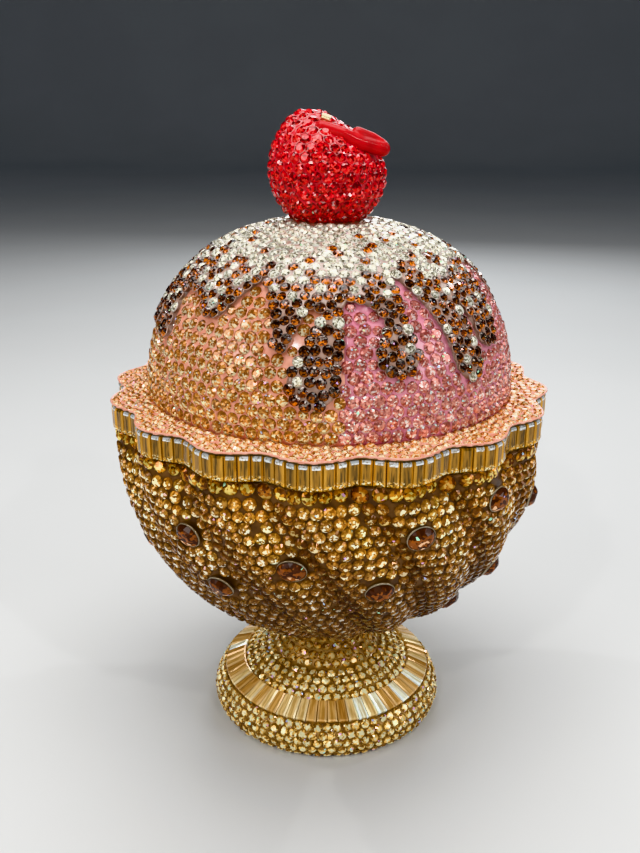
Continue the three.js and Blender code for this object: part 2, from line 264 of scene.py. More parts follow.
# %% One stone and its setting
def ring(form, count, radius, height, turn=0.0):
    made = bmesh.ops.create_circle(form, cap_ends=False, segments=count, radius=radius)
    spin = Matrix.Translation((0, 0, height)) @ Matrix.Rotation(turn, 4, "Z")
    bmesh.ops.transform(form, matrix=spin, verts=made["verts"])
    return sorted({edge for v in made["verts"] for edge in v.link_edges}, key=lambda e: e.index)


def template(form):
    bmesh.ops.remove_doubles(form, verts=form.verts, dist=1e-5)
    bmesh.ops.recalc_face_normals(form, faces=form.faces)
    form.verts.index_update()
    points = np.array([v.co[:] for v in form.verts])
    faces = [[v.index for v in face.verts] for face in form.faces]
    form.free()
    return points, faces


def round_stone():
    form = bmesh.new()
    table = ring(form, 8, 0.56, 0.40, math.radians(22.5))
    girdle = ring(form, 16, 1.0, 0.0)
    bmesh.ops.contextual_create(form, geom=table)
    bmesh.ops.bridge_loops(form, edges=table + girdle)
    bottom = bmesh.ops.contextual_create(form, geom=girdle)["faces"]
    point = bmesh.ops.poke(form, faces=bottom)["verts"]
    point[0].co.z = -0.55
    return template(form)


def large_gem():
    form = bmesh.new()
    table = ring(form, 8, 0.50, 0.44, math.radians(22.5))
    middle = ring(form, 8, 0.76, 0.29)
    girdle = ring(form, 16, 1.0, 0.0, math.radians(11.25))
    point = ring(form, 16, 0.05, -0.5, math.radians(11.25))
    bmesh.ops.contextual_create(form, geom=table)
    bmesh.ops.bridge_loops(form, edges=table + middle)
    bmesh.ops.bridge_loops(form, edges=middle + girdle)
    bmesh.ops.bridge_loops(form, edges=girdle + point)
    bmesh.ops.contextual_create(form, geom=point)
    bmesh.ops.triangulate(form, faces=form.faces)
    return template(form)


def setting_ring(segments, inner, crest, outer, rise, root):
    form = bmesh.new()
    loops = [ring(form, segments, radius, height) for radius, height in (
        (inner, -0.15), (crest, rise), (outer, root))]
    for a, b in zip(loops, loops[1:] + loops[:1]):
        bmesh.ops.bridge_loops(form, edges=a + b)
    return template(form)


STONE = round_stone()
GEM = large_gem()
SETTING = setting_ring(10, 0.97, 1.02, 1.08, 0.15, -0.12)
for name, (points, faces) in {"stone": STONE, "large gem": GEM, "setting": SETTING}.items():
    print(name, "faces:", len(faces), "triangles:", sum(len(f) - 2 for f in faces))

# %% [markdown]
# Placing works like setting stones by hand. Spots start in rows, those that do not fit are
# dropped, and then crowded neighbours push each other apart over the surface until the pitch
# is even. Each stone is as large as its nearest neighbour allows, and each keeps its own up
# direction, so a material can tell a stone's top from its bottom.

# %% Choosing spots
random = np.random.default_rng(7)
EASED = 0.45  # the share of each overlap that one round of spreading takes away
NEIGHBOURS = (0.36, 0.11, 0.07)  # how much the three nearest stones count for a stone's radius


def tree_of(points):
    tree = KDTree(len(points))
    for index, point in enumerate(points):
        tree.insert(point, index)
    tree.balance()
    return tree


def spread(a, b, surface, locate, spacing, rounds, hold=None):
    """Pushes crowded spots apart over a surface, and keeps them where hold allows."""
    for _ in range(rounds):
        points = surface(a, b)
        wide = spacing(a, b) if callable(spacing) else np.full(len(points), spacing)
        tree = tree_of(points)
        near = [(i, j) for i, point in enumerate(points)
                for _, j, _ in tree.find_range(point, wide[i]) if j > i]
        if not near:
            break
        first, second = np.array(near).T
        apart = points[first] - points[second]
        gap = np.linalg.norm(apart, axis=1)[:, None] + 1e-6
        step = apart / gap * (wide[first][:, None] - gap) * EASED
        push = np.zeros_like(points)
        np.add.at(push, first, step)
        np.add.at(push, second, -step)
        a, b = locate(points + push)
        if hold is not None:
            a, b = hold(a, b)
    return a, b


def filled(a, b, surface, more_a, more_b, gap):
    """Adds the offered spots that keep a gap to all others."""
    tree = tree_of(surface(a, b))
    offered = surface(more_a, more_b)
    gap = np.broadcast_to(gap, len(offered))
    free = [i for i, point in enumerate(offered) if tree.find(point)[2] > gap[i]]
    taken = []
    for i in free:
        if all(math.dist(offered[i], offered[j]) > gap[i] for j in taken):
            taken.append(i)
    return np.concatenate([a, more_a[taken]]), np.concatenate([b, more_b[taken]])


def unit(vectors):
    return vectors / np.linalg.norm(vectors, axis=-1)[..., None]


def sizes(points, low, high):
    """About half the way to the three nearest neighbours, so that stones touch."""
    tree = tree_of(points)
    reach = np.array([[found[2] for found in tree.find_n(point, 4)[1:]] for point in points])
    return np.clip(reach @ NEIGHBOURS, low, high) * random.uniform(0.96, 1.02, len(points))


def spots_on(surface, a, b, step_a, step_b, low, high):
    """Places, directions and sizes of stones on a surface that grows round with a and up with b."""
    points = surface(a, b)
    across = surface(a + step_a, b) - surface(a - step_a, b)
    rise = surface(a, b + step_b) - surface(a, b - step_b)
    normal = unit(np.cross(across, rise))
    up = unit(rise - normal * np.sum(rise * normal, axis=1)[:, None])
    return dict(point=points, normal=normal, up=up, radius=sizes(points, low, high))


def chosen(spots, mask):
    return {key: value[mask] for key, value in spots.items()}


def ring_rows(bs, radius_at, pitch, jitter, lean=0.0, wobble=0.0):
    """Rows of even pitch, every second one shifted by half a pitch, and no stone quite in line."""
    a, b = [], []
    for row, level in enumerate(bs):
        count = max(1, round(2 * math.pi * radius_at(level) / pitch))
        steps = np.arange(count) + (row % 2) / 2 + random.normal(0, jitter, count)
        a.append(2 * math.pi * steps / count + lean * level)
        b.append(level + random.normal(0, wobble, count))
    return np.concatenate(a), np.concatenate(b)


def arc_rows(points, pitch, start, end):
    """Stations along an outline at even steps of its length, as shares of its parameter."""
    lengths = np.concatenate([[0], np.cumsum(np.linalg.norm(np.diff(points, axis=0), axis=1))])
    count = max(1, round((lengths[-1] - start - end) / pitch))
    wanted = np.linspace(start, lengths[-1] - end, count + 1)
    return np.interp(wanted, lengths, np.linspace(0, 1, len(points)))


print("stations along 10 mm at a pitch of 2.5:", arc_rows(np.array([(0, 0), (10, 0)]), 2.5, 0, 0))

# %% Stamping stones
def stamped(name, shape, spots, material, sink=0.0, stretch=None, smooth=False, lean=0.07):
    """Joins one copy of a shape for each spot into a mesh, with its own UV map and seed."""
    points, faces = shape
    count, size = len(spots["point"]), len(points)
    normal, up, radius = spots["normal"], spots["up"], spots["radius"]
    level = np.cross(up, normal)
    turn = random.uniform(0, 2 * math.pi, count) * (stretch is None)
    cos, sin = np.cos(turn)[:, None], np.sin(turn)[:, None]
    x = points[:, 0] * cos - points[:, 1] * sin
    y = points[:, 0] * sin + points[:, 1] * cos
    across, along, out = stretch or (1, 1, 1)
    tip = random.normal(0, lean, (count, 2)) * (not smooth)
    z = points[:, 2] + x * tip[:, :1] + y * tip[:, 1:]
    put = spots["point"][:, None] + normal[:, None] * sink + radius[:, None, None] * (
        x[..., None] * across * level[:, None] + y[..., None] * along * up[:, None]
        + z[..., None] * out * normal[:, None])
    mesh = bpy.data.meshes.new(name)
    corners = np.concatenate([np.array(face) for face in faces])
    starts = np.cumsum([0] + [len(face) for face in faces])[:-1]
    loops = (np.arange(count)[:, None] * size + corners).ravel()
    mesh.vertices.add(count * size)
    mesh.vertices.foreach_set("co", (put * MM).ravel())
    mesh.loops.add(len(loops))
    mesh.loops.foreach_set("vertex_index", loops)
    mesh.polygons.add(count * len(faces))
    mesh.polygons.foreach_set("loop_start", (np.arange(count)[:, None] * len(corners) + starts).ravel())
    mesh.update(calc_edges=True)
    uv = mesh.uv_layers.new(name="cut")
    uv.data.foreach_set("uv", np.stack([x, y], axis=-1).reshape(-1, 2)[loops].ravel())
    tint = mesh.color_attributes.new("tint", "FLOAT_COLOR", "POINT")
    colors = np.ones((count, size, 4))
    colors[..., :3] = np.broadcast_to(spots.get("tint", 1.0), (count, 3))[:, None]
    colors[..., 3] = random.uniform(0, 1, count)[:, None]
    tint.data.foreach_set("color", colors.ravel())
    mesh.shade_smooth() if smooth else mesh.shade_flat()
    mesh.validate()
    mesh.materials.append(material)
    piece = linked(name, mesh)
    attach(piece, "root")
    print(name, count, "pieces,", sum(len(f) - 2 for f in faces) * count, "triangles")
    return piece


print("a stamp of one stone has", len(STONE[0]), "vertices")

# %% [markdown]
# A cut stone shows a mosaic: each patch of it reflects something else, so dark, coloured and
# white patches lie side by side. The foil behind it throws light back towards the bottom of
# the stone, while its top stays dark. The node group below paints that mosaic from the
# stone's own UV map and seed: its glints, reflections and foil light are painted light, and its
# dark top and rim are painted shade. It is shared by every kind of stone, each with its own colours.

# %% Shader helpers
def node(tree, kind, inputs=None, **settings):
    made = tree.nodes.new(kind)
    for key, value in settings.items():
        setattr(made, key, value)
    for key, value in (inputs or {}).items():
        if isinstance(value, bpy.types.NodeSocket):
            tree.links.new(value, made.inputs[key])
        else:
            made.inputs[key].default_value = value
    return made


def maths(tree, operation, *values):
    made = node(tree, "ShaderNodeMath", dict(enumerate(values)), operation=operation)
    return made.outputs[0]


def mixed(tree, share, a, b, blend="MIX"):
    made = node(tree, "ShaderNodeMix", data_type="RGBA", blend_type=blend)
    for key, value in ((0, share), (6, a), (7, b)):
        if isinstance(value, bpy.types.NodeSocket):
            tree.links.new(value, made.inputs[key])
        else:
            made.inputs[key].default_value = value if key == 0 else (*value[:3], 1)
    return made.outputs[2]


def ramp(tree, value, low, high):
    made = node(tree, "ShaderNodeMapRange", {0: value, 1: low, 2: high, 3: 0.0, 4: 1.0})
    made.interpolation_type = "SMOOTHSTEP"
    return made.outputs[0]


def new_group(name, inputs, outputs):
    tree = bpy.data.node_groups.new(name, "ShaderNodeTree")
    for label, kind, default in inputs:
        socket = tree.interface.new_socket(label, in_out="INPUT", socket_type=kind)
        socket.default_value = default
    for label, kind in outputs:
        tree.interface.new_socket(label, in_out="OUTPUT", socket_type=kind)
    return tree, tree.nodes.new("NodeGroupInput"), tree.nodes.new("NodeGroupOutput")


print("shader helpers: node, maths, mixed, ramp, new_group")

# %% The mosaic inside a stone, with its painted light and shade
SEED_DEPTH = 91.0  # a stone's own number picks its slice out of this depth of the pattern


def mosaic_group():
    tree, given, out = new_group("stone_mosaic", [
        ("Deep", "NodeSocketColor", (0.05, 0.02, 0.01, 1)),
        ("Body", "NodeSocketColor", (0.4, 0.2, 0.05, 1)),
        ("Glint", "NodeSocketColor", (1, 0.9, 0.7, 1)),
        ("Patches", "NodeSocketFloat", 3.0),
        ("Low glow", "NodeSocketFloat", 0.3),
        ("Deep below", "NodeSocketFloat", 0.35),
        ("Glint above", "NodeSocketFloat", 0.75),
        ("Sky", "NodeSocketColor", (0.75, 0.72, 0.70, 1)),
        ("Sky above", "NodeSocketFloat", 1.05),
        ("Fire above", "NodeSocketFloat", 0.985),
        ("Middle glow", "NodeSocketFloat", 0.2),
        ("Rim", "NodeSocketFloat", 0.5),
        ("Rim from", "NodeSocketFloat", 0.9),
    ], [("Color", "NodeSocketColor")])
    stone = node(tree, "ShaderNodeUVMap", uv_map="cut").outputs[0]
    tint = node(tree, "ShaderNodeAttribute", attribute_name="tint", attribute_type="GEOMETRY")
    at = node(tree, "ShaderNodeSeparateXYZ", {0: stone})
    depth = maths(tree, "MULTIPLY", tint.outputs["Alpha"], SEED_DEPTH)
    spot = node(tree, "ShaderNodeCombineXYZ", {0: at.outputs[0], 1: at.outputs[1], 2: depth})
    cells = node(tree, "ShaderNodeTexVoronoi",
                 {"Vector": spot.outputs[0], "Scale": given.outputs["Patches"]})
    pick = node(tree, "ShaderNodeSeparateColor", {0: cells.outputs["Color"]})
    # Each patch has a tone, raised low on the stone and in its middle: painted light from the foil.
    fall = maths(tree, "MULTIPLY", given.outputs["Low glow"], -1.0)
    low = maths(tree, "MULTIPLY", at.outputs[1], fall)
    reach = node(tree, "ShaderNodeVectorMath", {0: stone}, operation="LENGTH").outputs["Value"]
    inner = maths(tree, "SUBTRACT", 0.6, reach)
    middle = maths(tree, "MULTIPLY", inner, given.outputs["Middle glow"])
    tone = maths(tree, "ADD", maths(tree, "ADD", pick.outputs[0], low), middle)
    # Low tones show the deep colour, most the body colour and the highest a painted glint.
    deep_edge = maths(tree, "ADD", given.outputs["Deep below"], 0.12)
    body = mixed(tree, ramp(tree, tone, given.outputs["Deep below"], deep_edge),
                 given.outputs["Deep"], given.outputs["Body"])
    shade = maths(tree, "MULTIPLY_ADD", pick.outputs[1], 0.7, 0.65)
    body = node(tree, "ShaderNodeVectorMath", {0: body, 3: shade}, operation="SCALE").outputs[0]
    glint_edge = maths(tree, "ADD", given.outputs["Glint above"], 0.08)
    bright = mixed(tree, ramp(tree, tone, given.outputs["Glint above"], glint_edge),
                   body, given.outputs["Glint"])
    # Painted reflections: a few patches near the top mirror the sky, and a very few show a split pure
    # hue.
    high = maths(tree, "MULTIPLY_ADD", at.outputs[1], 0.3, pick.outputs[2])
    sky_edge = maths(tree, "ADD", given.outputs["Sky above"], 0.05)
    sky = ramp(tree, high, given.outputs["Sky above"], sky_edge)
    bright = mixed(tree, sky, bright, given.outputs["Sky"])
    tinted = mixed(tree, 1.0, bright, tint.outputs["Color"], "MULTIPLY")
    flash = maths(tree, "GREATER_THAN", pick.outputs[2], given.outputs["Fire above"])
    hue = node(tree, "ShaderNodeCombineColor", {0: pick.outputs[1], 1: 0.45, 2: 1.0}, mode="HSV")
    fired = mixed(tree, flash, tinted, hue.outputs[0])
    # A thin painted shade runs round the girdle, where it meets the metal.
    edge = ramp(tree, reach, given.outputs["Rim from"], 1.0)
    line = node(tree, "ShaderNodeVectorMath", {0: given.outputs["Deep"], 3: 0.35}, operation="SCALE")
    dark = mixed(tree, maths(tree, "MULTIPLY", edge, given.outputs["Rim"]), fired, line.outputs[0])
    tree.links.new(dark, out.inputs["Color"])
    return tree


MOSAIC = mosaic_group()


def stone_finish(name, deep, body, glint, patches=2.3, glow=0.4, deep_below=0.35, glint_above=0.75,
                 sky=(0.75, 0.72, 0.70), sky_above=1.05, fire_above=0.993, middle=0.2, rim=0.5,
                 rim_from=0.9, metallic=0.30, roughness=0.10, coat=0.3, shine=0.5):
    """A kind of stone: its three colours, how the patches share them, and its gloss."""
    made = bpy.data.materials.new(name)
    made.use_nodes = True
    tree = made.node_tree
    shader = tree.nodes["Principled BSDF"]
    inside = node(tree, "ShaderNodeGroup", node_tree=MOSAIC)
    for key, value in (("Deep", deep), ("Body", body), ("Glint", glint), ("Sky", sky)):
        inside.inputs[key].default_value = (*value, 1)
    for key, value in (("Patches", patches), ("Low glow", glow), ("Deep below", deep_below),
                       ("Glint above", glint_above), ("Sky above", sky_above), ("Fire above", fire_above),
                       ("Middle glow", middle), ("Rim", rim), ("Rim from", rim_from)):
        inside.inputs[key].default_value = value
    tree.links.new(inside.outputs["Color"], shader.inputs["Base Color"])
    shader.inputs["Metallic"].default_value = metallic
    shader.inputs["Roughness"].default_value = roughness
    shader.inputs["IOR"].default_value = 1.5
    shader.inputs["Specular IOR Level"].default_value = shine
    shader.inputs["Coat Weight"].default_value = coat
    shader.inputs["Coat Roughness"].default_value = 0.03
    return made


print("nodes in the mosaic:", len(MOSAIC.nodes))

# %% [markdown]
# Between the stones lies enamel: a glossy paint poured into the metal. It is never quite even,
# so a soft noise changes its shade, and a finer one gives it tiny waves.

# %% Enamel and metal
WAVE_DEPTH = 0.2 * MM


def enamel_group():
    tree, given, out = new_group("uneven_enamel", [
        ("Color", "NodeSocketColor", (0.8, 0.5, 0.4, 1)),
        ("Second tone", "NodeSocketColor", (0.5, 0.3, 0.2, 1)),
        ("Scale", "NodeSocketFloat", 300.0),
    ], [("Color", "NodeSocketColor"), ("Height", "NodeSocketFloat")])
    where = node(tree, "ShaderNodeTexCoord").outputs["Object"]
    cloud = node(tree, "ShaderNodeTexNoise",
                 {"Vector": where, "Scale": given.outputs["Scale"], "Detail": 3.0})
    share = ramp(tree, cloud.outputs["Fac"], 0.35, 0.65)
    # The second, darker tone is a random mottle of the enamel itself.
    paint = mixed(tree, share, given.outputs["Second tone"], given.outputs["Color"])
    tree.links.new(paint, out.inputs["Color"])
    finer = maths(tree, "MULTIPLY", given.outputs["Scale"], 4.0)
    fine = node(tree, "ShaderNodeTexNoise", {"Vector": where, "Scale": finer, "Detail": 2.0})
    tree.links.new(fine.outputs["Fac"], out.inputs["Height"])
    return tree


ENAMEL = enamel_group()


def enamel_finish(name, color, second_tone, roughness=0.28, metallic=0.0, coat=0.6, bump=0.15,
                  scale=300.0):
    """An enamel, or with some metallic the bare metal, between two shades of one colour."""
    made = bpy.data.materials.new(name)
    made.use_nodes = True
    tree = made.node_tree
    shader = tree.nodes["Principled BSDF"]
    paint = node(tree, "ShaderNodeGroup", node_tree=ENAMEL)
    paint.inputs["Color"].default_value = (*color, 1)
    paint.inputs["Second tone"].default_value = (*second_tone, 1)
    paint.inputs["Scale"].default_value = scale
    tree.links.new(paint.outputs["Color"], shader.inputs["Base Color"])
    waves = node(tree, "ShaderNodeBump",
                 {"Strength": bump, "Distance": WAVE_DEPTH, "Height": paint.outputs["Height"]})
    tree.links.new(waves.outputs[0], shader.inputs["Normal"])
    shader.inputs["Roughness"].default_value = roughness
    shader.inputs["Metallic"].default_value = metallic
    shader.inputs["Coat Weight"].default_value = coat
    shader.inputs["Coat Roughness"].default_value = 0.1
    return made


paper = enamel_finish("studio_paper", (0.62, 0.62, 0.61), (0.60, 0.60, 0.59),
                      roughness=0.8, coat=0.0, bump=0.02, scale=4.0)
floor.data.materials.append(paper)
print("nodes in the enamel:", len(ENAMEL.nodes))

# %% [markdown]
# The real ornament has enamels in the colours of peach and strawberry ice cream, of sauce and
# of cherry, and bare gold on the bowl and the foot. The bare gold lies deep between the stones
# and sees little light, so its colours are darkened as painted shade. Each kind of stone is a deep
# colour, a body colour and a glint, with its own share of each. Smoky and topaz stones are mostly
# deep, and clear and champagne ones are mostly bright.

# %% Enamels and metals
peach_enamel = enamel_finish("peach_enamel", (0.88, 0.42, 0.30), (0.74, 0.30, 0.20))
pink_enamel = enamel_finish("pink_enamel", (0.82, 0.34, 0.42), (0.68, 0.23, 0.31))
sauce_enamel = enamel_finish("topping_enamel", (0.42, 0.27, 0.21), (0.27, 0.16, 0.12))
frost_enamel = enamel_finish("frost_enamel", (0.62, 0.57, 0.52), (0.42, 0.37, 0.33))
cherry_enamel = enamel_finish("cherry_enamel", (0.78, 0.02, 0.04), (0.54, 0.003, 0.010))
# Painted highlight: a paler copy of the cherry enamel for where the sky falls on it.
painted_sky_light_enamel = enamel_finish("cherry_painted_sky_light_enamel", (0.88, 0.34, 0.33), (0.76, 0.09, 0.11))
stalk_enamel = enamel_finish("stalk_enamel", (0.52, 0.0, 0.003), (0.37, 0.0, 0.002),
                             roughness=0.42, coat=0.15)
stalk_enamel.node_tree.nodes["Principled BSDF"].inputs["Specular IOR Level"].default_value = 0.25
# Painted shade: the bowl's metal gets dark colours because little light reaches it.
gold_metal = enamel_finish("bowl_metal", (0.15, 0.066, 0.017), (0.070, 0.027, 0.006),
                           roughness=0.4, metallic=0.4, coat=0.15)
seam_metal = enamel_finish("seam_metal", (0.22, 0.130, 0.050), (0.12, 0.070, 0.025),
                           roughness=0.5, metallic=0.4, coat=0.0)
bezel_metal = enamel_finish("bezel_metal", (0.44, 0.37, 0.27), (0.30, 0.23, 0.15),
                            roughness=0.3, metallic=0.7)
foot_metal = enamel_finish("foot_metal", (0.40, 0.225, 0.066), (0.22, 0.110, 0.030),
                           roughness=0.4, metallic=0.4, coat=0.2)
pale_metal = enamel_finish("pale_metal", (0.86, 0.76, 0.50), (0.74, 0.62, 0.38),
                           roughness=0.3, metallic=0.9)
print("enamels and metals:", len(bpy.data.materials))

# %% Kinds of stones
# The glint and sky colours below are painted highlights and reflections inside each stone.
honey = stone_finish("honey_stone", (0.32, 0.106, 0.023), (0.70, 0.295, 0.086), (1.0, 0.83, 0.52),
                     patches=3.6, glint_above=0.76, sky_above=1.15)
rose = stone_finish("rose_stone", (0.42, 0.105, 0.090), (0.70, 0.235, 0.19), (1.0, 0.72, 0.68),
                    patches=3.8, glow=0.25, glint_above=0.84)
clear = stone_finish("clear_stone", (0.22, 0.19, 0.13), (0.56, 0.52, 0.38), (1.0, 0.975, 0.84),
                     patches=3.7, glow=0.1, deep_below=0.25, glint_above=0.58)
smoky = stone_finish("smoky_stone", (0.013, 0.004, 0.003), (0.14, 0.027, 0.006),
                     (0.86, 0.235, 0.016), patches=3.5, glow=0.66, deep_below=0.42,
                     glint_above=0.88, sky=(0.34, 0.27, 0.23), sky_above=0.82)
gold_stone = stone_finish("gold_stone", (0.19, 0.074, 0.013), (0.44, 0.213, 0.043),
                          (1.0, 0.90, 0.53), patches=3.0, glow=0.30, deep_below=0.38,
                          glint_above=0.85, sky_above=1.3, fire_above=0.998, middle=0.6,
                          rim=0.9, rim_from=0.87, metallic=0.25, coat=0.05, shine=0.3)
amber = stone_finish("amber_stone", (0.16, 0.048, 0.004), (0.60, 0.24, 0.016), (1.0, 0.76, 0.22),
                     patches=2.8, glow=0.35, sky_above=1.3, fire_above=0.995, middle=0.4,
                     metallic=0.5, coat=0.15)
champagne = stone_finish("champagne_stone", (0.28, 0.13, 0.030), (0.96, 0.60, 0.18),
                         (1.0, 0.94, 0.58), glow=0.2, deep_below=0.24, glint_above=0.64,
                         sky_above=1.3, fire_above=0.975, middle=0.9, rim=0.8, rim_from=0.80,
                         metallic=0.25, coat=0.15, shine=0.3)
red_stone = stone_finish("red_stone", (0.20, 0.0, 0.001), (0.80, 0.001, 0.006), (1.0, 0.085, 0.070),
                         patches=2.8, glow=0.25, glint_above=0.80, sky=(0.82, 0.38, 0.38),
                         sky_above=1.04, fire_above=0.9975, coat=0.2)
topaz = stone_finish("topaz_gem", (0.050, 0.013, 0.004), (0.24, 0.068, 0.013), (1.0, 0.60, 0.34),
                     patches=4.2, glow=0.55, deep_below=0.42, glint_above=0.98, sky_above=1.3,
                     metallic=0.0, roughness=0.2, coat=0.0, shine=0.3)
print("materials:", len(bpy.data.materials))

# %% [markdown]
# The bare bodies under the stones are turned shapes: an outline is spun about the axis, and
# then every vertex is moved to the exact surface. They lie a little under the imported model's
# surface, so that the tables of the stones come level with it.

# %% Turned bodies
def turned(name, outline, steps, material, bend=None, smooth=True):
    form = bmesh.new()
    verts = [form.verts.new((0, -r, z)) for r, z in outline]
    edges = [form.edges.new(pair) for pair in zip(verts, verts[1:])]
    bmesh.ops.spin(form, geom=verts + edges, cent=(0, 0, 0), axis=(0, 0, 1), dvec=(0, 0, 0),
                   angle=2 * math.pi, steps=steps, use_merge=True, use_duplicate=False)
    bmesh.ops.remove_doubles(form, verts=form.verts, dist=1e-4)
    bmesh.ops.recalc_face_normals(form, faces=form.faces)
    mesh = bpy.data.meshes.new(name)
    form.to_mesh(mesh)
    form.free()
    points = np.empty(len(mesh.vertices) * 3)
    mesh.vertices.foreach_get("co", points)
    points = points.reshape(-1, 3)
    if bend is not None:
        azimuth = np.arctan2(points[:, 0], -points[:, 1])
        points = bend(azimuth, np.hypot(points[:, 0], points[:, 1]), points[:, 2])
    mesh.vertices.foreach_set("co", (points * MM).ravel())
    if smooth:
        mesh.shade_smooth()
    mesh.update()
    mesh.materials.append(material)
    piece = linked(name, mesh)
    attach(piece, "root")
    print(name, "faces:", len(mesh.polygons))
    return piece


def arc(surface, low, high, count):
    """An outline's r and z along a surface that is round, from low to high."""
    points = surface(0.0, np.linspace(low, high, count))
    return [(float(-y), float(z)) for _, y, z in points]


# %% [markdown]
# The dome is one round body, so its two flavours are cut apart along a plane through the axis,
# a hair's breadth each side. The topping is a second dome, pushed outwards where the sauce
# lies and sunk out of sight where it does not.

# %% Dome and topping
SEAT_HEIGHT = SEAM + LIP_THICKNESS - 0.4  # the dome stands 0.4 mm deep in the lip
SEAT = math.asin((SEAT_HEIGHT - DOME_BASE) / DOME_HEIGHT)
GROWN = TOPPING - SUNK
SPLIT = 1e-5  # half of the cut between the flavours, in metres


def sunk_dome(azimuth, slope):
    return dome_point(azimuth, slope, -SUNK)


def scoop(name, material, side, node_name):
    outline = [(0.0, SEAT_HEIGHT)] + arc(sunk_dome, SEAT, math.pi / 2, 56)
    outline[-1] = (0.0, outline[-1][1])
    piece = turned(name, outline, 144, material)
    form = bmesh.new()
    form.from_mesh(piece.data)
    toward = Vector((math.cos(FLAVOUR_LINE), math.sin(FLAVOUR_LINE), 0)) * side
    whole = form.verts[:] + form.edges[:] + form.faces[:]
    made = bmesh.ops.bisect_plane(form, geom=whole, plane_co=toward * SPLIT, plane_no=toward,
                                  clear_inner=True, dist=1e-7)
    rim = only(bmesh.types.BMEdge, made["geom_cut"])
    bmesh.ops.triangle_fill(form, edges=rim, use_beauty=True)
    bmesh.ops.recalc_face_normals(form, faces=form.faces)
    form.to_mesh(piece.data)
    form.free()
    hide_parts(node_name)
    return piece


scoop("scoop_peach", peach_enamel, -1, "ice_cream_peach")
scoop("scoop_pink", pink_enamel, 1, "ice_cream_pink")


HIDDEN = 2.0  # how deep the skin lies under the dome where there is no sauce
SKIN_FLOOR, SKIN_START = 4.5, 7.0  # heights over the dome's base, well below the lowest drip


def topping_skin():
    def bend(azimuth, r, z):
        points = place(azimuth, r, z)
        rise = smoothstep(-topping_distance(points), -0.25, 0.35)
        out = points - np.array([0, 0, DOME_BASE])
        out /= np.linalg.norm(out, axis=-1)[:, None]
        moved = points + out * (-HIDDEN + (HIDDEN + GROWN) * rise)[:, None]
        on_dome = (z > DOME_BASE + SKIN_FLOOR + 0.5)[:, None]
        return np.where(on_dome, moved, points * np.array([0.9, 0.9, 1]))
    low = math.asin(SKIN_START / DOME_HEIGHT)
    outline = [(0.0, DOME_BASE + SKIN_FLOOR)] + arc(dome_point, low, math.pi / 2, 110)
    outline[-1] = (0.0, outline[-1][1])
    return turned("topping_skin", outline, 440, sauce_enamel, bend)


skin = topping_skin()
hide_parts("topping")

# %% [markdown]
# A setter starts each area with a row along its edge and works on from there. On the ice
# cream the stones start in level rows, every second one shifted by half a stone, and are then
# pushed off the topping's outline and apart. Gaps that are left get a stone of their own. The
# peach and the pink half are set as one, and only the colour changes at the line between them.

# %% Stones of the ice cream
slopes = np.linspace(SEAT, math.pi / 2 - 0.001, 400)
dome_line = dome_point(0.0, slopes)
slope_ratio = dome_line[:, 2] - DOME_BASE
slope_ratio = slope_ratio / np.maximum(-dome_line[:, 1], 1e-6)


def locate_dome(points):
    ratio = (points[:, 2] - DOME_BASE) / np.maximum(np.hypot(points[:, 0], points[:, 1]), 1e-6)
    return np.arctan2(points[:, 0], -points[:, 1]), np.interp(ratio, slope_ratio, slopes)


def dome_rows(pitch, row_pitch, jitter):
    shares = arc_rows(dome_line, row_pitch, start=1.4, end=1.0)
    levels = np.interp(shares, np.linspace(0, 1, len(slopes)), slopes)
    return ring_rows(levels, lambda level: np.hypot(*dome_point(0.0, level)[:2]), pitch, jitter,
                     wobble=0.008)


BARE = 1.22  # from the topping's outline to the middle of the nearest stone
OVER_LIP = 0.036  # how far up the dome the lowest stones sit, as a slope
PROBE = 0.1  # a small step that feels which way a distance grows


def slope_of_distance(points, here):
    """Which way the distance to the topping's outline grows, and how fast."""
    return np.stack([(topping_distance(points + move) - here) / PROBE
                     for move in np.eye(3) * PROBE], axis=1)


def off_topping(azimuth, slope):
    """Moves spots that lie too near the topping away from it, and keeps them over the lip."""
    points = dome_point(azimuth, slope)
    here = topping_distance(points)
    near = here < BARE
    uphill = slope_of_distance(points[near], here[near])
    points[near] += uphill * (BARE - here[near])[:, None]
    located = locate_dome(points)
    return located[0], np.maximum(located[1], SEAT + OVER_LIP)


def offered_on_dome(count, low, high):
    """Random spots, evenly spread over the dome between two shares of its height."""
    azimuth = random.uniform(-math.pi, math.pi, count)
    return azimuth, np.arcsin(random.uniform(low, high, count))


a, b = dome_rows(pitch=2.88, row_pitch=2.50, jitter=0.10)
outside = topping_distance(dome_point(a, b)) > 1.0
a, b = spread(a[outside], b[outside], dome_point, locate_dome, spacing=2.84, rounds=6, hold=off_topping)
more_a, more_b = offered_on_dome(12000, 0.05, 0.95)
fits = (topping_distance(dome_point(more_a, more_b)) > 0.95) & (more_b > SEAT + OVER_LIP)
a, b = filled(a, b, dome_point, more_a[fits], more_b[fits], gap=2.10)
a, b = spread(a, b, dome_point, locate_dome, spacing=2.65, rounds=4, hold=off_topping)
ice_spots = spots_on(dome_point, a, b, step_a=0.01, step_b=0.01, low=1.06, high=1.48)
ice_spots["radius"] = np.clip(topping_distance(ice_spots["point"]) - 0.05, 0.9, ice_spots["radius"])
ice_spots["pink"] = np.sin(a - FLAVOUR_LINE) > 0
print("stones on the ice cream:", len(a))

# %% Painted light and shade on the ice cream
# Painted light and shade: the lowest stones are paler, where the lip throws light back at them,
# and the highest darker, where the sauce keeps it off.
height = ice_spots["point"][:, 2]
paler = np.interp(height, [93, 110], [0.30, 0.0]) * np.where(ice_spots["pink"], 1.0, 0.5)
deeper = np.interp(height, [98, 112], [1.0, 0.77])[:, None]
ice_spots["tint"] = (1 + paler[:, None] * np.array([0.5, 1.6, 1.3])) * deeper
print("pink stones:", int(ice_spots["pink"].sum()))

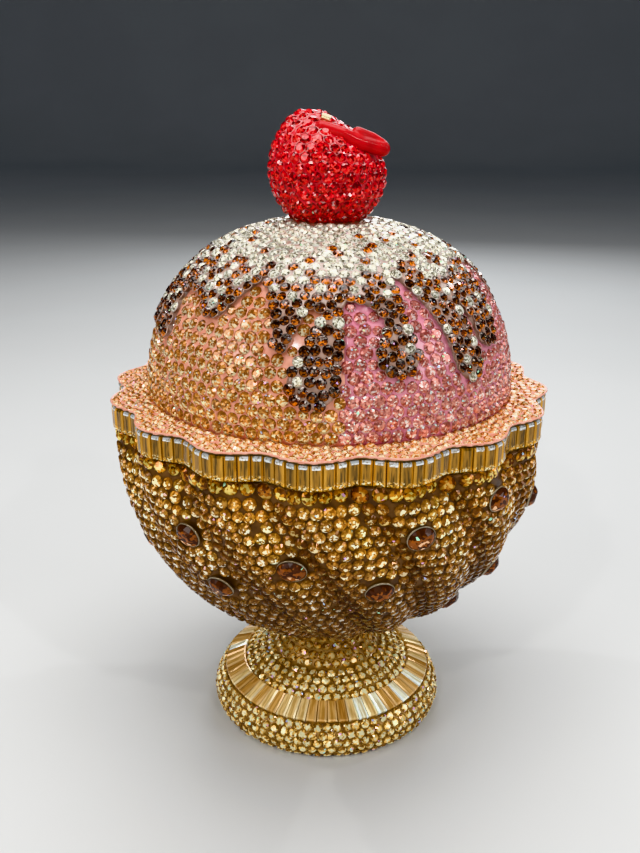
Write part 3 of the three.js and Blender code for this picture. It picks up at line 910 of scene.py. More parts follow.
# %% [markdown]
# On the topping one line of stones follows the outline of the sauce and its drips, and the
# others fill the inside closely. All are clear near the cherry. Further down they turn
# smoky, with a single clear one here and there, as if light ran down the sauce.

# %% Stones of the topping
INSET = 0.70  # from the topping's outline to the middle of the stones along it
CHERRY_ROOM = 0.8  # from the cherry's skin to the middle of the nearest stone


def topping_point(azimuth, slope):
    point = dome_point(azimuth, slope)
    return point + unit(point - np.array([0, 0, DOME_BASE])) * (TOPPING - 0.05)


def inside_topping(azimuth, slope):
    """Brings the outermost spots to one line along the outline, and keeps the others inside it."""
    points = dome_point(azimuth, slope)
    here = topping_distance(points)
    out = here > -INSET - 0.75
    downhill = slope_of_distance(points[out], here[out])
    points[out] -= downhill * (here[out] + INSET)[:, None]
    return locate_dome(points)


def clear_of_cherry(azimuth, slope):
    apart = np.linalg.norm(topping_point(azimuth, slope) - CHERRY_CENTRE, axis=-1)
    return apart > CHERRY + CHERRY_ROOM


def covered(azimuth, slope):
    within = topping_distance(dome_point(azimuth, slope)) < -INSET
    return within & clear_of_cherry(azimuth, slope)


# The line along the edge: spots of a fine net that lie on it, taken at random a stone apart.
grid_a, grid_b = [v.ravel() for v in np.meshgrid(np.linspace(-math.pi, math.pi, 1500, endpoint=False),
                                                 np.arcsin(np.linspace(0.3, 0.86, 170)))]
along_edge = np.abs(topping_distance(dome_point(grid_a, grid_b)) + INSET + 0.03) < 0.05
edge_a, edge_b = grid_a[along_edge], grid_b[along_edge]
mix = random.permutation(len(edge_a))
edge_a, edge_b = edge_a[mix], edge_b[mix]
a, b = filled(edge_a[:1], edge_b[:1], dome_point, edge_a, edge_b, gap=2.13)
print("stones along the edge:", len(a))

# %% Fill the topping
more_a, more_b = dome_rows(pitch=2.33, row_pitch=1.98, jitter=0.14)
fits = covered(more_a, more_b)
a, b = filled(a, b, dome_point, more_a[fits], more_b[fits], gap=1.47)
a, b = spread(a, b, dome_point, locate_dome, spacing=2.43, rounds=14, hold=inside_topping)
for _ in range(2):
    more_a, more_b = offered_on_dome(20000, 0.25, 0.999)
    fits = covered(more_a, more_b)
    a, b = filled(a, b, dome_point, more_a[fits], more_b[fits], gap=1.57)
    a, b = spread(a, b, dome_point, locate_dome, spacing=2.39, rounds=10, hold=inside_topping)
kept = clear_of_cherry(a, b)
sauce_spots = spots_on(topping_point, a[kept], b[kept], step_a=0.01, step_b=0.01, low=1.10, high=1.39)
print("stones on the topping:", int(kept.sum()))

# %% Clear and smoky
SINGLE_BELOW, SINGLE_ROOM = 121.5, 3.2  # under this height no two clear stones touch
heights = sauce_spots["point"][:, 2] + random.normal(0, 1.6, len(sauce_spots["point"]))
clear_share = np.interp(heights, [104, 112, 118, 123, 127, 130], [0.05, 0.20, 0.38, 0.56, 0.80, 0.97])
wanted = random.uniform(0, 1, len(heights)) < clear_share
tree = tree_of(sauce_spots["point"])
sauce_spots["clear"] = wanted.copy()
for i in random.permutation(np.flatnonzero(wanted & (heights < SINGLE_BELOW))):
    around = tree.find_range(sauce_spots["point"][i], SINGLE_ROOM)
    sauce_spots["clear"][i] = sum(sauce_spots["clear"][j] for _, j, _ in around) == 1
dim_share = np.interp(heights, [103, 112, 122], [0.62, 0.45, 0.25])
dim = random.uniform(0, 1, len(heights)) < dim_share
sauce_spots["tint"] = np.where((dim & ~sauce_spots["clear"])[:, None], 0.36, 1.0)
print("clear stones:", int(sauce_spots["clear"].sum()))

# %% [markdown]
# No two settings are quite alike: each stone sits a little higher or lower, leans a little and
# has its own shade. Without that, thousands of equal stones would look like printed paper.

# %% Set the dome's stones
def set_stones(name, spots, material, setting, lean=0.08):
    """One mesh of stones and one of their settings, in the same slot."""
    count = len(spots["point"])
    spots["point"] = spots["point"] + spots["normal"] * random.uniform(-0.12, 0.06, (count, 1))
    shade = spots.get("tint", 1.0) * random.uniform(0.80, 1.18, (count, 1)) * np.ones((1, 3))
    spots["tint"] = np.clip(shade, 0, 1.6)
    stones = stamped(name + "_stones", STONE, spots, material, sink=-0.40, lean=lean)
    rings = stamped(name + "_settings", SETTING, spots, setting, sink=-SUNK, smooth=True)


set_stones("peach", chosen(ice_spots, ~ice_spots["pink"]), honey, peach_enamel)
set_stones("pink", chosen(ice_spots, ice_spots["pink"]), rose, pink_enamel)
set_stones("clear", chosen(sauce_spots, sauce_spots["clear"]), clear, frost_enamel)
set_stones("smoky", chosen(sauce_spots, ~sauce_spots["clear"]), smoky, sauce_enamel)

# %% [markdown]
# The lip is a flat scalloped plate with a plain rounded edge. One row of stones follows the
# scallops along that edge, and the others fill the space up to the foot of the dome.

# %% Lip
def lip_bend(azimuth, r, z):
    return place(azimuth, scalloped(azimuth, r), z)


LIP_TOP = SEAM + LIP_THICKNESS
BEAD, BEAD_TOP = 0.22, LIP_TOP - 0.1  # the plain rounded edge and how high it reaches
LIP_STEPS = 24 * LOBES
bead = [(RIM - 0.03 - BEAD + BEAD * math.cos(t), BEAD_TOP - BEAD + BEAD * math.sin(t))
        for t in np.linspace(-math.pi / 2, math.pi / 2, 9)]
plate_outline = [(0.0, BEAD_TOP - 2 * BEAD), *bead, (RIM - 0.6, LIP_TOP - SUNK), (0.0, LIP_TOP - SUNK)]
lip_plate = turned("lip_plate", plate_outline, LIP_STEPS, peach_enamel, lip_bend)
base_outline = [(0.0, SEAM), (RIM - 0.5, SEAM), (RIM - 0.3, SEAM + 0.1), (RIM - 0.3, LIP_TOP - 0.5),
                (0.0, LIP_TOP - 0.5)]
lip_base = turned("lip_base", base_outline, LIP_STEPS, seam_metal, lip_bend)
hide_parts("lip")
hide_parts("lip")

# %% Stones of the lip
OUTERMOST = 1.3  # from the lip's edge to the middle of the row along it
DOME_ROOM, PLAIN_EDGE = 0.75, 0.14  # bare metal beside the dome and along the edge


def lip_surface(azimuth, inset):
    """The lip's top: inset grows from the edge towards the middle."""
    return place(azimuth, scalloped(azimuth, RIM) - inset, LIP_TOP)


def on_lip(azimuth, inset):
    """Keeps spots between the lip's edge and the foot of the dome."""
    return azimuth, np.clip(inset, OUTERMOST, scalloped(azimuth, RIM) - DOME - DOME_ROOM)


def locate_lip(points):
    azimuth = np.arctan2(points[:, 0], -points[:, 1])
    return azimuth, scalloped(azimuth, RIM) - np.hypot(points[:, 0], points[:, 1])


more_a = np.linspace(-math.pi, math.pi, 3000, endpoint=False)
more_b = np.full(3000, OUTERMOST)
a, b = filled(more_a[:1], more_b[:1], lip_surface, more_a, more_b, gap=2.3)
for _ in range(2):
    more_a, more_b = on_lip(random.uniform(-math.pi, math.pi, 9000), random.uniform(OUTERMOST, 9.0, 9000))
    a, b = filled(a, b, lip_surface, more_a, more_b, gap=1.72)
    a, b = spread(a, b, lip_surface, locate_lip, spacing=2.30, rounds=10, hold=on_lip)
lip_spots = spots_on(lip_surface, a, b, step_a=0.01, step_b=0.1, low=1.05, high=1.32)
lip_spots["radius"] = np.minimum(lip_spots["radius"], b - PLAIN_EDGE)  # none reaches over the edge
lip_spots["normal"] = np.tile([0.0, 0.0, 1.0], (len(a), 1))
lip_spots["up"] = place(a, -1.0, 0.0)
set_stones("lip", lip_spots, honey, peach_enamel)

# %% [markdown]
# The bowl is half a ball with swirling flutes. Two ways would make them: cutting sixteen
# grooves, or one round body whose every vertex moves to the fluted surface. The second way is
# used, because the stones need that surface as a formula too.

# %% Bowl body
def bowl_bend(azimuth, r, z):
    latitude = np.degrees(np.arctan2(z - BOWL_CENTRE, r))
    swirled = azimuth - SWIRL * np.radians(latitude)
    on_axis = (r < 1e-3)[:, None]
    return np.where(on_axis, place(0.0, 0.0, z), bowl_point(swirled, latitude, -SUNK))


BOWL_TOP = BAND_BOTTOM - GAP
BOWL_BOTTOM = BOWL_CENTRE - math.sqrt(BOWL ** 2 - BOWL_FLAT ** 2)
lowest = -math.acos(BOWL_FLAT / BOWL)
highest = math.asin((BOWL_TOP - BOWL_CENTRE) / BOWL)
bowl_outline = [(0.0, BOWL_BOTTOM + SUNK)]
for t in np.linspace(lowest, highest, 72):
    bowl_outline.append(((BOWL - SUNK) * math.cos(t), BOWL_CENTRE + (BOWL - SUNK) * math.sin(t)))
bowl_outline.append((0.0, bowl_outline[-1][1]))
bowl_body = turned("bowl_body", bowl_outline, 320, gold_metal, bowl_bend)
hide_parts("bowl")

# %% [markdown]
# Eleven large oval gems sit on the crests, and the same eleven again on the far side. They are
# placed one by one, as their maker did, by azimuth and latitude in degrees.

# %% Gems of the bowl
GEM_STRETCH = (3.2, 2.8, 2.9)  # half width, half height and depth of one gem
GEM_PLACES = np.array([
    (-65.3, -24.2), (-37, -11.4), (-30.6, -25.9), (-9.4, -16.3), (12.8, -22.9), (21.1, -7.4),
    (44.1, -3.0), (48.8, -42.3), (59.5, -30.9), (70.4, -12.1), (93, -27),
])
gem_a = np.radians(np.concatenate([GEM_PLACES[:, 0], GEM_PLACES[:, 0] + 180]))
gem_b = np.tile(GEM_PLACES[:, 1], 2)
gem_points = bowl_point(gem_a, gem_b)
gem_normals = unit(gem_points - np.array([0, 0, BOWL_CENTRE]))
gem_levels = unit(np.cross([0, 0, 1.0], gem_normals))
gem_spots = dict(point=gem_points, normal=gem_normals, up=np.cross(gem_normals, gem_levels),
                 radius=np.ones(len(gem_a)))
gems = stamped("bowl_gems", GEM, gem_spots, topaz, sink=0.1, stretch=GEM_STRETCH, lean=0.02)
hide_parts(*[f"bowl_gem_{number:02d}" for number in range(1, len(gem_a) + 1)])

# %% [markdown]
# Each crest carries pale gold stones on one shoulder, and the valleys hold dark bronze ones,
# darker still towards the bottom: partly the stones' own colours, partly painted light on the
# lit shoulders and painted shade in the valleys and low down. Sorting the stones into many kinds
# would take many materials, so one material is used, and each stone has a tint by where it sits
# on the wave.

# %% Shades of the bowl, with painted light and shade
PALE_BAND, VALLEY_BAND = (0.83, 0.17), (0.16, 0.15)  # middle and half width, as shares of a flute


def bowl_tone_and_painted_light(azimuth, latitude):
    """Colour with painted light and shade: pale on one shoulder, bronze in the valley, darker below."""
    phase = (azimuth + SWIRL * np.radians(latitude) - FIRST_VALLEY) * LOBES / (2 * math.pi) % 1
    pale, valley = [np.exp(-(((phase - middle + 0.5) % 1 - 0.5) / width) ** 2)
                    for middle, width in (PALE_BAND, VALLEY_BAND)]
    shade = 1.12 + 0.50 * pale - np.interp(latitude, [-19, -4], [0.70, 0.54]) * valley
    shade = shade * np.interp(latitude, [-75, -50, -30, -19, -10, 0],
                              [0.26, 0.37, 0.50, 0.80, 0.99, 1.09])
    warm = np.interp(latitude, [-75, -35, 0], [0.72, 0.9, 1.0])
    return np.stack([shade, shade * warm * (1.04 + 0.14 * pale - 0.25 * valley),
                     shade * warm * (1.2 + 0.6 * pale - 0.7 * valley)], axis=-1)


print("tint half way down:", bowl_tone_and_painted_light(0.0, -40.0).round(2))

# %% [markdown]
# A row of amber stones runs round the bowl under the band, with a larger one in each valley.
# Below it the gold stones start in rows that follow the swirl, keep clear of the gems, and
# grow smaller towards the bottom, where the bowl narrows.

# %% Rules for the bowl's stones
LOWEST, HIGHEST = -74, 0.4  # degrees of latitude that the gold stones keep within
GEM_ROOM = 4.7  # from the middle of a gem to the middle of the nearest stone
ROW_ROOM, FILL_ROOM = 4.1, 4.6  # a spot that lies nearer to a gem is not tried at all


def locate_bowl(points):
    r = np.hypot(points[:, 0], points[:, 1])
    return np.arctan2(points[:, 0], -points[:, 1]), np.degrees(np.arctan2(points[:, 2] - BOWL_CENTRE, r))


def beside_gems(azimuth, latitude):
    """Keeps spots off the large gems, under the amber row and above the foot."""
    points = bowl_point(azimuth, np.clip(latitude, LOWEST, HIGHEST))
    apart = points[:, None] - gem_points
    gap = np.linalg.norm(apart, axis=-1)
    nearest = gap.argmin(axis=1)
    rows = np.arange(len(points))
    short = np.maximum(GEM_ROOM - gap[rows, nearest], 0)
    points += apart[rows, nearest] / gap[rows, nearest][:, None] * short[:, None]
    located = locate_bowl(points)
    return located[0], np.clip(located[1], LOWEST, HIGHEST)


def from_gems(azimuth, latitude):
    """How far a spot on the bowl lies from the nearest large gem."""
    return np.linalg.norm(bowl_point(azimuth, latitude)[:, None] - gem_points, axis=-1).min(axis=1)


def bowl_pitch(azimuth, latitude):
    """The stones grow smaller towards the bottom."""
    return np.interp(latitude, [-62, -32, -8], [2.42, 2.68, 2.88])


print("pitch at the top and the bottom:", bowl_pitch(0, HIGHEST), bowl_pitch(0, LOWEST))

# %% The amber row
shares = np.array([0.0, 0.19, 0.345, 0.5, 0.655, 0.81])  # places along one scallop, valley first
row = FIRST_VALLEY + (np.arange(LOBES)[:, None] + shares).ravel() * 2 * math.pi / LOBES
large = np.tile(shares == 0, LOBES)
amber_spots = spots_on(bowl_point, row, np.where(large, 3.8, 4.2), step_a=0.01, step_b=0.2,
                       low=1.62, high=1.74)
amber_spots["radius"][large] = 2.02
amber_spots["tint"] = np.where(large[:, None], np.array([0.62, 0.48, 0.42]), 1.0)
print("amber stones:", len(row))

# %% Stones of the bowl
ROW_SHARE, LAST_ROW = 0.88, -71  # rows are closer than the pitch, because they interlock
levels = [HIGHEST]
while levels[-1] > LAST_ROW:
    levels.append(levels[-1] - math.degrees(ROW_SHARE * bowl_pitch(0, levels[-1]) / BOWL))
a, b = ring_rows(levels, lambda lat: BOWL * math.cos(math.radians(lat)) / bowl_pitch(0, lat),
                 pitch=1.0, jitter=0.2, lean=-math.radians(SWIRL), wobble=0.5)
fits = from_gems(a, b) > ROW_ROOM
a, b = spread(a[fits], b[fits], bowl_point, locate_bowl, bowl_pitch, rounds=12, hold=beside_gems)
for _ in range(2):
    more_a = random.uniform(-math.pi, math.pi, 16000)
    more_b = -np.degrees(np.arcsin(random.uniform(-0.007, 0.955, 16000)))
    fits = from_gems(more_a, more_b) > FILL_ROOM
    more_a, more_b = more_a[fits], more_b[fits]
    a, b = filled(a, b, bowl_point, more_a, more_b, gap=0.72 * bowl_pitch(0, more_b))
    a, b = spread(a, b, bowl_point, locate_bowl, bowl_pitch, rounds=8, hold=beside_gems)
gold_spots = spots_on(bowl_point, a, b, step_a=0.01, step_b=0.6, low=1.12, high=1.58)
# Partly the stones' colours, partly painted light and shade by the wave and the height.
gold_spots["tint"] = bowl_tone_and_painted_light(a, b)
print("stones on the bowl:", len(a))

# %% Set the bowl's stones
SMALL_SETTING = setting_ring(8, 0.97, 1.03, 1.09, 0.12, -0.12)
for kind, spots, material in (("amber", amber_spots, amber), ("gold", gold_spots, gold_stone)):
    count = len(spots["point"])
    spots["tint"] = np.clip(spots["tint"] * random.uniform(0.74, 1.26, (count, 1)), 0, 1.7)
    stamped(f"{kind}_stones", STONE, spots, material, sink=-0.38)
    rings = stamped(f"{kind}_settings", SMALL_SETTING, spots, gold_metal, sink=-SUNK, smooth=True)

# %% [markdown]
# Each gem is held by a bezel, a thin oval rim of metal that laps over its edge. It is the same
# ring of three bands as a small stone's setting, with more segments, because its curve is
# large enough to be seen, and stretched as the gem is.

# %% Bezels of the gems
BEZEL = setting_ring(28, 0.99, 1.02, 1.07, 0.06, -0.12)
bezels = stamped("gem_bezels", BEZEL, gem_spots, bezel_metal, stretch=GEM_STRETCH, smooth=True)

# %% [markdown]
# Under the lip runs a band of upright baguettes: long step-cut stones, each with a flat face
# and a sloping edge all round. The foot carries a ring of them, laid like spokes. A cube whose
# upper face is inset and raised gives the shape. The mosaic of the round stones would look
# wrong on them, because light runs through them in long streaks, so they get a group of
# their own.

# %% Baguettes
def baguette(width, length, depth, slope, taper=0.0):
    """A step-cut bar: its face looks along +Z, its long side lies along Y."""
    form = bmesh.new()
    bmesh.ops.create_cube(form, size=1.0, matrix=Matrix.Diagonal((width, length, depth, 1)))
    bmesh.ops.translate(form, vec=(0, 0, -depth / 2), verts=form.verts)
    face = [f for f in form.faces if f.normal.z > 0.9]
    bmesh.ops.inset_region(form, faces=face, thickness=slope, depth=0, use_even_offset=True)
    inner = [f for f in form.faces if f.normal.z > 0.9
             and all(abs(v.co.x) < width / 2 - 0.01 for v in f.verts)]
    bmesh.ops.translate(form, vec=(0, 0, slope * 0.9), verts=inner[0].verts)
    for vert in form.verts:
        vert.co.x *= 1 - taper * vert.co.y / length
    return template(form)


def step_cut_group():
    """Long streaks down the stone, dark in the middle, with painted highlights along its lower end."""
    tree, given, out = new_group("baguette_streaks", [
        ("Deep", "NodeSocketColor", (0.1, 0.05, 0.01, 1)),
        ("Body", "NodeSocketColor", (0.4, 0.25, 0.06, 1)),
        ("Glint", "NodeSocketColor", (1, 0.8, 0.4, 1)),
        ("Ends", "NodeSocketFloat", 1.0),
    ], [("Color", "NodeSocketColor")])
    stone = node(tree, "ShaderNodeUVMap", uv_map="cut").outputs[0]
    tint = node(tree, "ShaderNodeAttribute", attribute_name="tint", attribute_type="GEOMETRY")
    at = node(tree, "ShaderNodeSeparateXYZ", {0: stone})
    depth = maths(tree, "MULTIPLY", tint.outputs["Alpha"], SEED_DEPTH)
    drawn_out = maths(tree, "MULTIPLY", at.outputs[1], 0.10)
    stretched = node(tree, "ShaderNodeCombineXYZ", {0: at.outputs[0], 1: drawn_out, 2: depth})
    streaks = node(tree, "ShaderNodeTexNoise",
                   {"Vector": stretched.outputs[0], "Scale": 2.2, "Detail": 2.0})
    spot = node(tree, "ShaderNodeCombineXYZ", {0: at.outputs[0], 1: at.outputs[1], 2: depth})
    patches = node(tree, "ShaderNodeTexVoronoi", {"Vector": spot.outputs[0], "Scale": 3.2})
    pick = node(tree, "ShaderNodeSeparateColor", {0: patches.outputs["Color"]})
    streak = ramp(tree, streaks.outputs["Fac"], 0.40, 0.60)
    body = mixed(tree, streak, given.outputs["Deep"], given.outputs["Body"])
    # Painted highlights: the lower end catches the light in patches, some with foil glints, and both
    # long edges carry a thin bright line.
    low_end = ramp(tree, at.outputs[1], -1.1, -2.1)
    low = maths(tree, "MULTIPLY", low_end, maths(tree, "GREATER_THAN", pick.outputs[0], 0.5))
    off_middle = maths(tree, "ABSOLUTE", at.outputs[0])
    line = maths(tree, "MULTIPLY", ramp(tree, off_middle, 0.45, 1.1), 0.55)
    bright = maths(tree, "MAXIMUM", maths(tree, "MULTIPLY", low, given.outputs["Ends"]), line)
    lit = mixed(tree, bright, body, given.outputs["Glint"])
    foil = maths(tree, "MULTIPLY", low, maths(tree, "GREATER_THAN", pick.outputs[1], 0.6))
    lit = mixed(tree, maths(tree, "MULTIPLY", foil, given.outputs["Ends"]), lit, (1.0, 0.90, 0.55))
    # The upper end carries a painted reflection of something pale on most stones, a little more or less
    # of it on each.
    top_start = maths(tree, "MULTIPLY_ADD", tint.outputs["Alpha"], 0.35, 1.72)
    top_end = ramp(tree, at.outputs[1], top_start, maths(tree, "ADD", top_start, 0.10))
    top_end = maths(tree, "MULTIPLY", top_end, maths(tree, "GREATER_THAN", tint.outputs["Alpha"], 0.14))
    top_end = maths(tree, "MULTIPLY", top_end, maths(tree, "LESS_THAN", off_middle, 0.90))
    top_end = maths(tree, "MULTIPLY", top_end, given.outputs["Ends"])
    white = maths(tree, "GREATER_THAN", pick.outputs[2], 0.30)
    painted_top_reflection = mixed(tree, white, (0.55, 0.50, 0.40), (0.93, 0.99, 1.0))
    lit = mixed(tree, top_end, lit, painted_top_reflection)
    tree.links.new(mixed(tree, 1.0, lit, tint.outputs["Color"], "MULTIPLY"), out.inputs["Color"])
    return tree


STREAKS = step_cut_group()


def baguette_finish(name, deep, body, glint, ends):
    """The gloss of a stone finish, with the streaks in the place of the mosaic."""
    made = stone_finish(name, deep, body, glint, metallic=0.45, roughness=0.06)
    tree = made.node_tree
    mosaic = next(n for n in tree.nodes if n.type == "GROUP")
    tree.nodes.remove(mosaic)
    inside = node(tree, "ShaderNodeGroup", node_tree=STREAKS)
    for key, value in (("Deep", deep), ("Body", body), ("Glint", glint)):
        inside.inputs[key].default_value = (*value, 1)
    inside.inputs["Ends"].default_value = ends
    tree.links.new(inside.outputs["Color"], tree.nodes["Principled BSDF"].inputs["Base Color"])
    return made


amber_bar = baguette_finish("amber_baguette", (0.11, 0.062, 0.015), (0.37, 0.185, 0.031),
                            (0.92, 0.48, 0.072), ends=1.0)
pale_bar = baguette_finish("champagne_baguette", (0.58, 0.37, 0.145), (0.84, 0.60, 0.29),
                           (1.0, 0.92, 0.70), ends=0.0)
pale_bar.node_tree.nodes["Principled BSDF"].inputs["Metallic"].default_value = 0.2
print("nodes in the streaks:", len(STREAKS.nodes))

# %% [markdown]
# The bars of the band stand side by side on a metal backing that waves with the lip, eight to
# each lobe. Each one faces squarely outwards from the wave at its own place, so two points of
# the wave beside it give the direction of its face.

# %% Band under the lip
BACKING = BAND_FACE - 1.0
backing_outline = [(0.0, BAND_BOTTOM), (BACKING, BAND_BOTTOM), (BACKING, BAND_TOP), (0.0, BAND_TOP)]
backing = turned("band_backing", backing_outline, LIP_STEPS, gold_metal, lip_bend, smooth=False)
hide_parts("baguette_band")
PER_LOBE = 8
steps = np.arange(LOBES * PER_LOBE)
azimuths = FIRST_VALLEY + (steps + 0.5) * 2 * math.pi / (LOBES * PER_LOBE)
ends = [place(azimuths + d, scalloped(azimuths + d, BAND_FACE), 0.0) for d in (-0.018, 0.018)]
levels = unit(ends[1] - ends[0])
bar_tint = np.ones((1, 3)) * random.uniform(0.8, 1.2, (len(steps), 1))
bar_spots = dict(point=place(azimuths, scalloped(azimuths, BAND_FACE), (BAND_TOP + BAND_BOTTOM) / 2),
                 normal=np.cross(levels, [0, 0, 1.0]), up=np.tile([0.0, 0.0, 1.0], (len(steps), 1)),
                 radius=np.ones(len(steps)), tint=bar_tint)
bar = baguette(width=2.44, length=5.5, depth=1.2, slope=0.42)
band = stamped("band_baguettes", bar, bar_spots, amber_bar, stretch=(1, 1, 1), lean=0.012)

# %% [markdown]
# The spokes taper towards the middle, as they must to close a ring. Four tones from nearly
# white to tan are dealt out at random as painted reflections, because each spoke mirrors a
# different part of the room.

# %% Ring on the foot
(r_in, z_in), (r_out, z_out) = RING_INNER, RING_OUTER
BARS = 64
azimuths = 2 * math.pi * (np.arange(BARS) + 0.5) / BARS
inner, outer = place(azimuths, r_in, z_in), place(azimuths, r_out, z_out)
up = unit(inner - outer)
sideways = place(azimuths + math.pi / 2, 1.0, 0.0)
# Painted reflections: each tone stands for a part of the room that a spoke mirrors.
TONES = np.array([(1.5, 2.1, 3.3), (1.3, 1.32, 1.22), (1.08, 0.90, 0.64), (0.80, 0.60, 0.36)])
TONE_SHARES = [0.14, 0.24, 0.37, 0.25]
spoke_spots = dict(point=(inner + outer) / 2, up=up, normal=np.cross(sideways, up),
                   radius=np.ones(BARS), tint=TONES[random.choice(4, BARS, p=TONE_SHARES)])
spoke = baguette(width=2.26, length=5.96, depth=0.9, slope=0.36, taper=0.22)
spokes = stamped("foot_baguettes", spoke, spoke_spots, pale_bar, sink=0.12, stretch=(1, 1, 1),
                 lean=0.03)
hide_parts("foot_baguette_ring")

# %% [markdown]
# The foot is a spun outline with a rounded rim, a shelf for the ring and a waist. A few points
# give the outline, and averaging neighbours many times makes a smooth line of it. Its stones
# stand in level rows, darker and more coppery where the waist meets the bowl: partly their own
# colour, partly painted shade under the bowl.

# %% Foot
def inward(points, by):
    """Moves an outline towards the axis by its own normal."""
    points = np.array(points, float)
    along = np.gradient(points, axis=0)
    along /= np.linalg.norm(along, axis=1)[:, None]
    return points - by * np.stack([along[:, 1], -along[:, 0]], axis=1)


def rounded(points, count):
    """A smooth line through the given points."""
    points = np.array(points, float)
    lengths = np.concatenate([[0], np.cumsum(np.linalg.norm(np.diff(points, axis=0), axis=1))])
    at = np.linspace(0, lengths[-1], count)
    plain = np.stack([np.interp(at, lengths, points[:, k]) for k in (0, 1)], axis=1)
    for _ in range(count // 8):
        plain[1:-1] = (plain[:-2] + 2 * plain[1:-1] + plain[2:]) / 4
    return plain


SHELF = 0.75  # how deep the shelf lies under the ring
rim_line, waist_line = rounded(FOOT_OUTLINE, 40), rounded(WAIST_OUTLINE, 60)
rim_sunk, waist_sunk = inward(rim_line, SUNK), inward(waist_line, SUNK)
rim_sunk[0] = (rim_line[0][0] - 0.2, 0.0)
foot_outline = [(0.0, 0.0), *map(tuple, rim_sunk), (r_out - 0.3, z_out - SHELF), (r_in, z_in - SHELF),
                *map(tuple, waist_sunk), (BOWL_FLAT - 0.5, BOWL_BOTTOM), (0.0, BOWL_BOTTOM)]
foot_body = turned("foot_body", foot_outline, 144, foot_metal)
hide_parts("foot")

# %% Stones of the foot
def foot_surface(line):
    """A surface for the stones: the outline turned about the axis."""
    stations = np.arange(len(line))

    def surface(azimuth, share):
        at = share * (len(line) - 1)
        return place(azimuth, np.interp(at, stations, line[:, 0]), np.interp(at, stations, line[:, 1]))
    return surface


rows_of_foot = []
for line, start, end in ((rim_line, 1.4, 0.55), (waist_line, 0.55, 0.6)):
    surface = foot_surface(line)
    shares = arc_rows(line, 2.28, start, end)
    a, b = ring_rows(shares, lambda share: np.hypot(*surface(0.0, share)[:2]), pitch=2.52, jitter=0.04)
    rows_of_foot.append(spots_on(surface, a, b, step_a=0.01, step_b=0.01, low=1.06, high=1.30))
foot_spots = {key: np.concatenate([part[key] for part in rows_of_foot]) for key in rows_of_foot[0]}
# Darker near the bowl: partly the stones' colour, partly painted shade under the bowl.
upper = np.interp(foot_spots["point"][:, 2], [14.5, 17.5], [0.0, 1.0])[:, None]
foot_spots["tint"] = 1 - upper * np.array([0.45, 0.58, 0.72])
set_stones("foot", foot_spots, champagne, foot_metal)

# %% [markdown]
# The cherry is a ball with a raised shoulder and a hollow beside it. An icosphere has even
# faces all over, so each of its vertices is moved to the cherry's surface by one formula.

# %% Cherry
def cherry_body():
    form = bmesh.new()
    bmesh.ops.create_icosphere(form, subdivisions=6, radius=1.0)
    mesh = bpy.data.meshes.new("cherry_body")
    form.to_mesh(mesh)
    form.free()
    ways = np.array([v.co[:] for v in mesh.vertices])
    azimuth, latitude = np.arctan2(ways[:, 0], -ways[:, 1]), np.arcsin(np.clip(ways[:, 2], -1, 1))
    mesh.vertices.foreach_set("co", (cherry_point(azimuth, latitude, -SUNK) * MM).ravel())
    mesh.shade_smooth()
    mesh.materials.append(cherry_enamel)
    piece = linked("cherry_body", mesh)
    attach(piece, "root")
    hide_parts("cherry")


cherry_body()
print("cherry's highest point in mm:", round(float(cherry_point(0.0, math.pi / 2)[2]), 1))

# %% [markdown]
# The stones of the cherry start in level rows too, and leave room for the stalk and the pin.
# Those on its upper side and towards the back sit in a paler copy of the enamel, a painted
# highlight where the sky falls on it.

# %% Stones of the cherry
STALK = [(-2.3, -6.6, 151.4), (2.4, -6.8, 150.0), (6.6, -6.4, 148.2), (11.4, -5.6, 147.1)]
FOLD = [(5.8, -5.2, 150.2), (9.0, -5.0, 149.0), (11.2, -4.9, 147.6)]


def along(points, count):
    points = np.array(points, float)
    at = np.linspace(0, len(points) - 1, count)
    return np.stack([np.interp(at, np.arange(len(points)), points[:, k]) for k in range(3)], axis=1)


PIN = np.array([-1.4, -4.2, 153.5])
STALK_ROOM, PIN_ROOM, LOWEST_ON_CHERRY = 2.6, 1.9, 131.2
CEILING = 155.05  # the stones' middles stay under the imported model's top
rods = np.concatenate([along(STALK, 16), along(FOLD, 8)])


def locate_cherry(points):
    way = unit(points - CHERRY_CENTRE)
    return np.arctan2(way[:, 0], -way[:, 1]), np.arcsin(np.clip(way[:, 2], -1, 1))


def fits_cherry(azimuth, latitude):
    points = cherry_point(azimuth, latitude)
    off_stalk = np.linalg.norm(points[:, None] - rods, axis=-1).min(axis=1) > STALK_ROOM
    off_pin = np.linalg.norm(points - PIN, axis=-1) > PIN_ROOM
    return off_stalk & off_pin & (points[:, 2] > LOWEST_ON_CHERRY)


a, b = ring_rows(np.radians(np.arange(-60, 89, 9.2)), lambda lat: CHERRY * math.cos(lat),
                 pitch=2.80, jitter=0.12, wobble=0.02)
kept = fits_cherry(a, b)
a, b = spread(a[kept], b[kept], cherry_point, locate_cherry, spacing=2.70, rounds=4)
more_a = random.uniform(-math.pi, math.pi, 6000)
more_b = np.arcsin(random.uniform(-0.75, 1, 6000))
fits = fits_cherry(more_a, more_b)
a, b = filled(a, b, cherry_point, more_a[fits], more_b[fits], gap=2.08)
cherry_spots = spots_on(cherry_point, a, b, step_a=0.02, step_b=0.02, low=1.05, high=1.42)
points = cherry_spots["point"]
points[:, 2] = np.minimum(points[:, 2], CEILING)
# Painted highlight: the upper and back side gets the paler enamel, as if lit by the sky.
painted_sky_light = points[:, 2] - 0.5 * points[:, 1] + random.normal(0, 1.5, len(a)) > 152.5
set_stones("cherry", chosen(cherry_spots, ~painted_sky_light), red_stone, cherry_enamel, lean=0.12)
set_stones("cherry_top", chosen(cherry_spots, painted_sky_light), red_stone, painted_sky_light_enamel, lean=0.12)

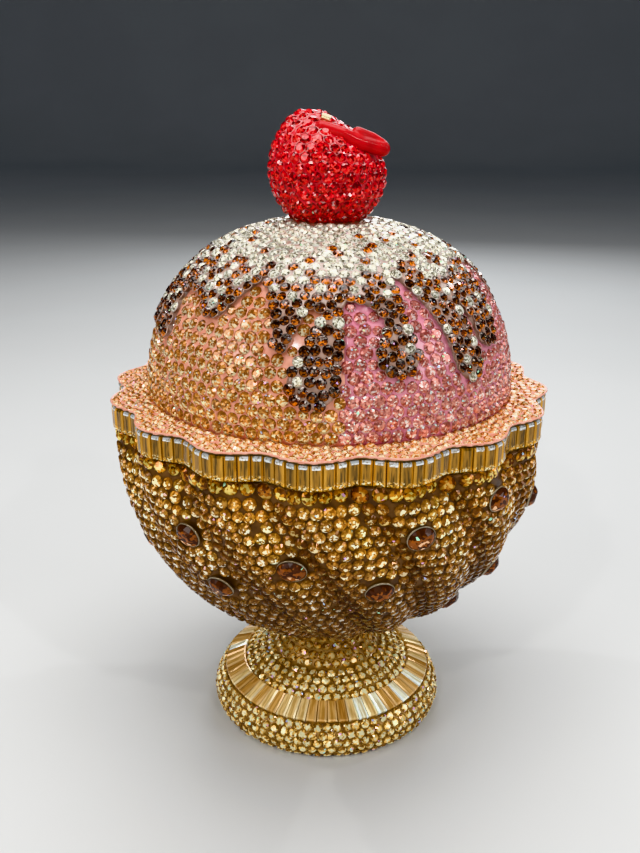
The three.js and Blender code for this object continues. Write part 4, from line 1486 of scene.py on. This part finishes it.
# %% [markdown]
# The short stalk lies in the hollow with its end folded back. It is a line of overlapping balls
# that a voxel remesh melts into one smooth body, as poured enamel is. A skin or a curve with a
# bevel would leave a crease where the fold meets the stalk.

# %% Stalk
VOXEL = 0.22 * MM


def stalk():
    form = bmesh.new()
    for points, radius in ((STALK, 1.72), (FOLD, 1.58)):
        for spot in along(points, 22):
            made = bmesh.ops.create_icosphere(form, subdivisions=3, radius=radius * MM)
            bmesh.ops.translate(form, vec=Vector(spot * MM), verts=made["verts"])
    mesh = bpy.data.meshes.new("stalk")
    form.to_mesh(mesh)
    form.free()
    piece = linked("cherry_stalk_body", mesh)
    melt = piece.modifiers.new("melt", "REMESH")
    melt.mode, melt.voxel_size = "VOXEL", VOXEL
    soften = piece.modifiers.new("soften", "SMOOTH")
    soften.factor, soften.iterations = 0.5, 6
    shown = piece.evaluated_get(bpy.context.evaluated_depsgraph_get())
    piece.data = bpy.data.meshes.new_from_object(shown)
    piece.modifiers.clear()
    piece.data.shade_smooth()
    piece.data.materials.clear()
    piece.data.materials.append(stalk_enamel)
    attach(piece, "root")
    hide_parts("cherry_stalk")
    print("stalk faces:", len(piece.data.polygons))


stalk()

# %% [markdown]
# A small pale stub covers the root of the stalk. It is a cylinder, and only the edges of its
# two round ends are bevelled, so that they catch a line of light.

# %% Pin
PIN_RADIUS, PIN_LENGTH, PIN_TILT = 0.9, 2.2, math.radians(110)


def pin():
    """A small metal stub with soft ends, over the root of the stalk."""
    form = bmesh.new()
    turn = Matrix.Translation(Vector(PIN * MM)) @ Matrix.Rotation(PIN_TILT, 4, "Y")
    bmesh.ops.create_cone(form, cap_ends=True, segments=32, radius1=PIN_RADIUS * MM,
                          radius2=PIN_RADIUS * MM, depth=PIN_LENGTH * MM, matrix=turn)
    ends = [edge for edge in form.edges if any(len(face.verts) > 4 for face in edge.link_faces)]
    bmesh.ops.bevel(form, geom=ends, offset=0.15 * MM, affect="EDGES", segments=3, profile=0.5,
                    material=-1)
    mesh = bpy.data.meshes.new("pin")
    form.to_mesh(mesh)
    form.free()
    mesh.materials.append(pale_metal)
    piece = linked("stalk_pin_body", mesh)
    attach(piece, "root")
    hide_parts("stalk_pin")
    print("pin faces:", len(mesh.polygons))


pin()
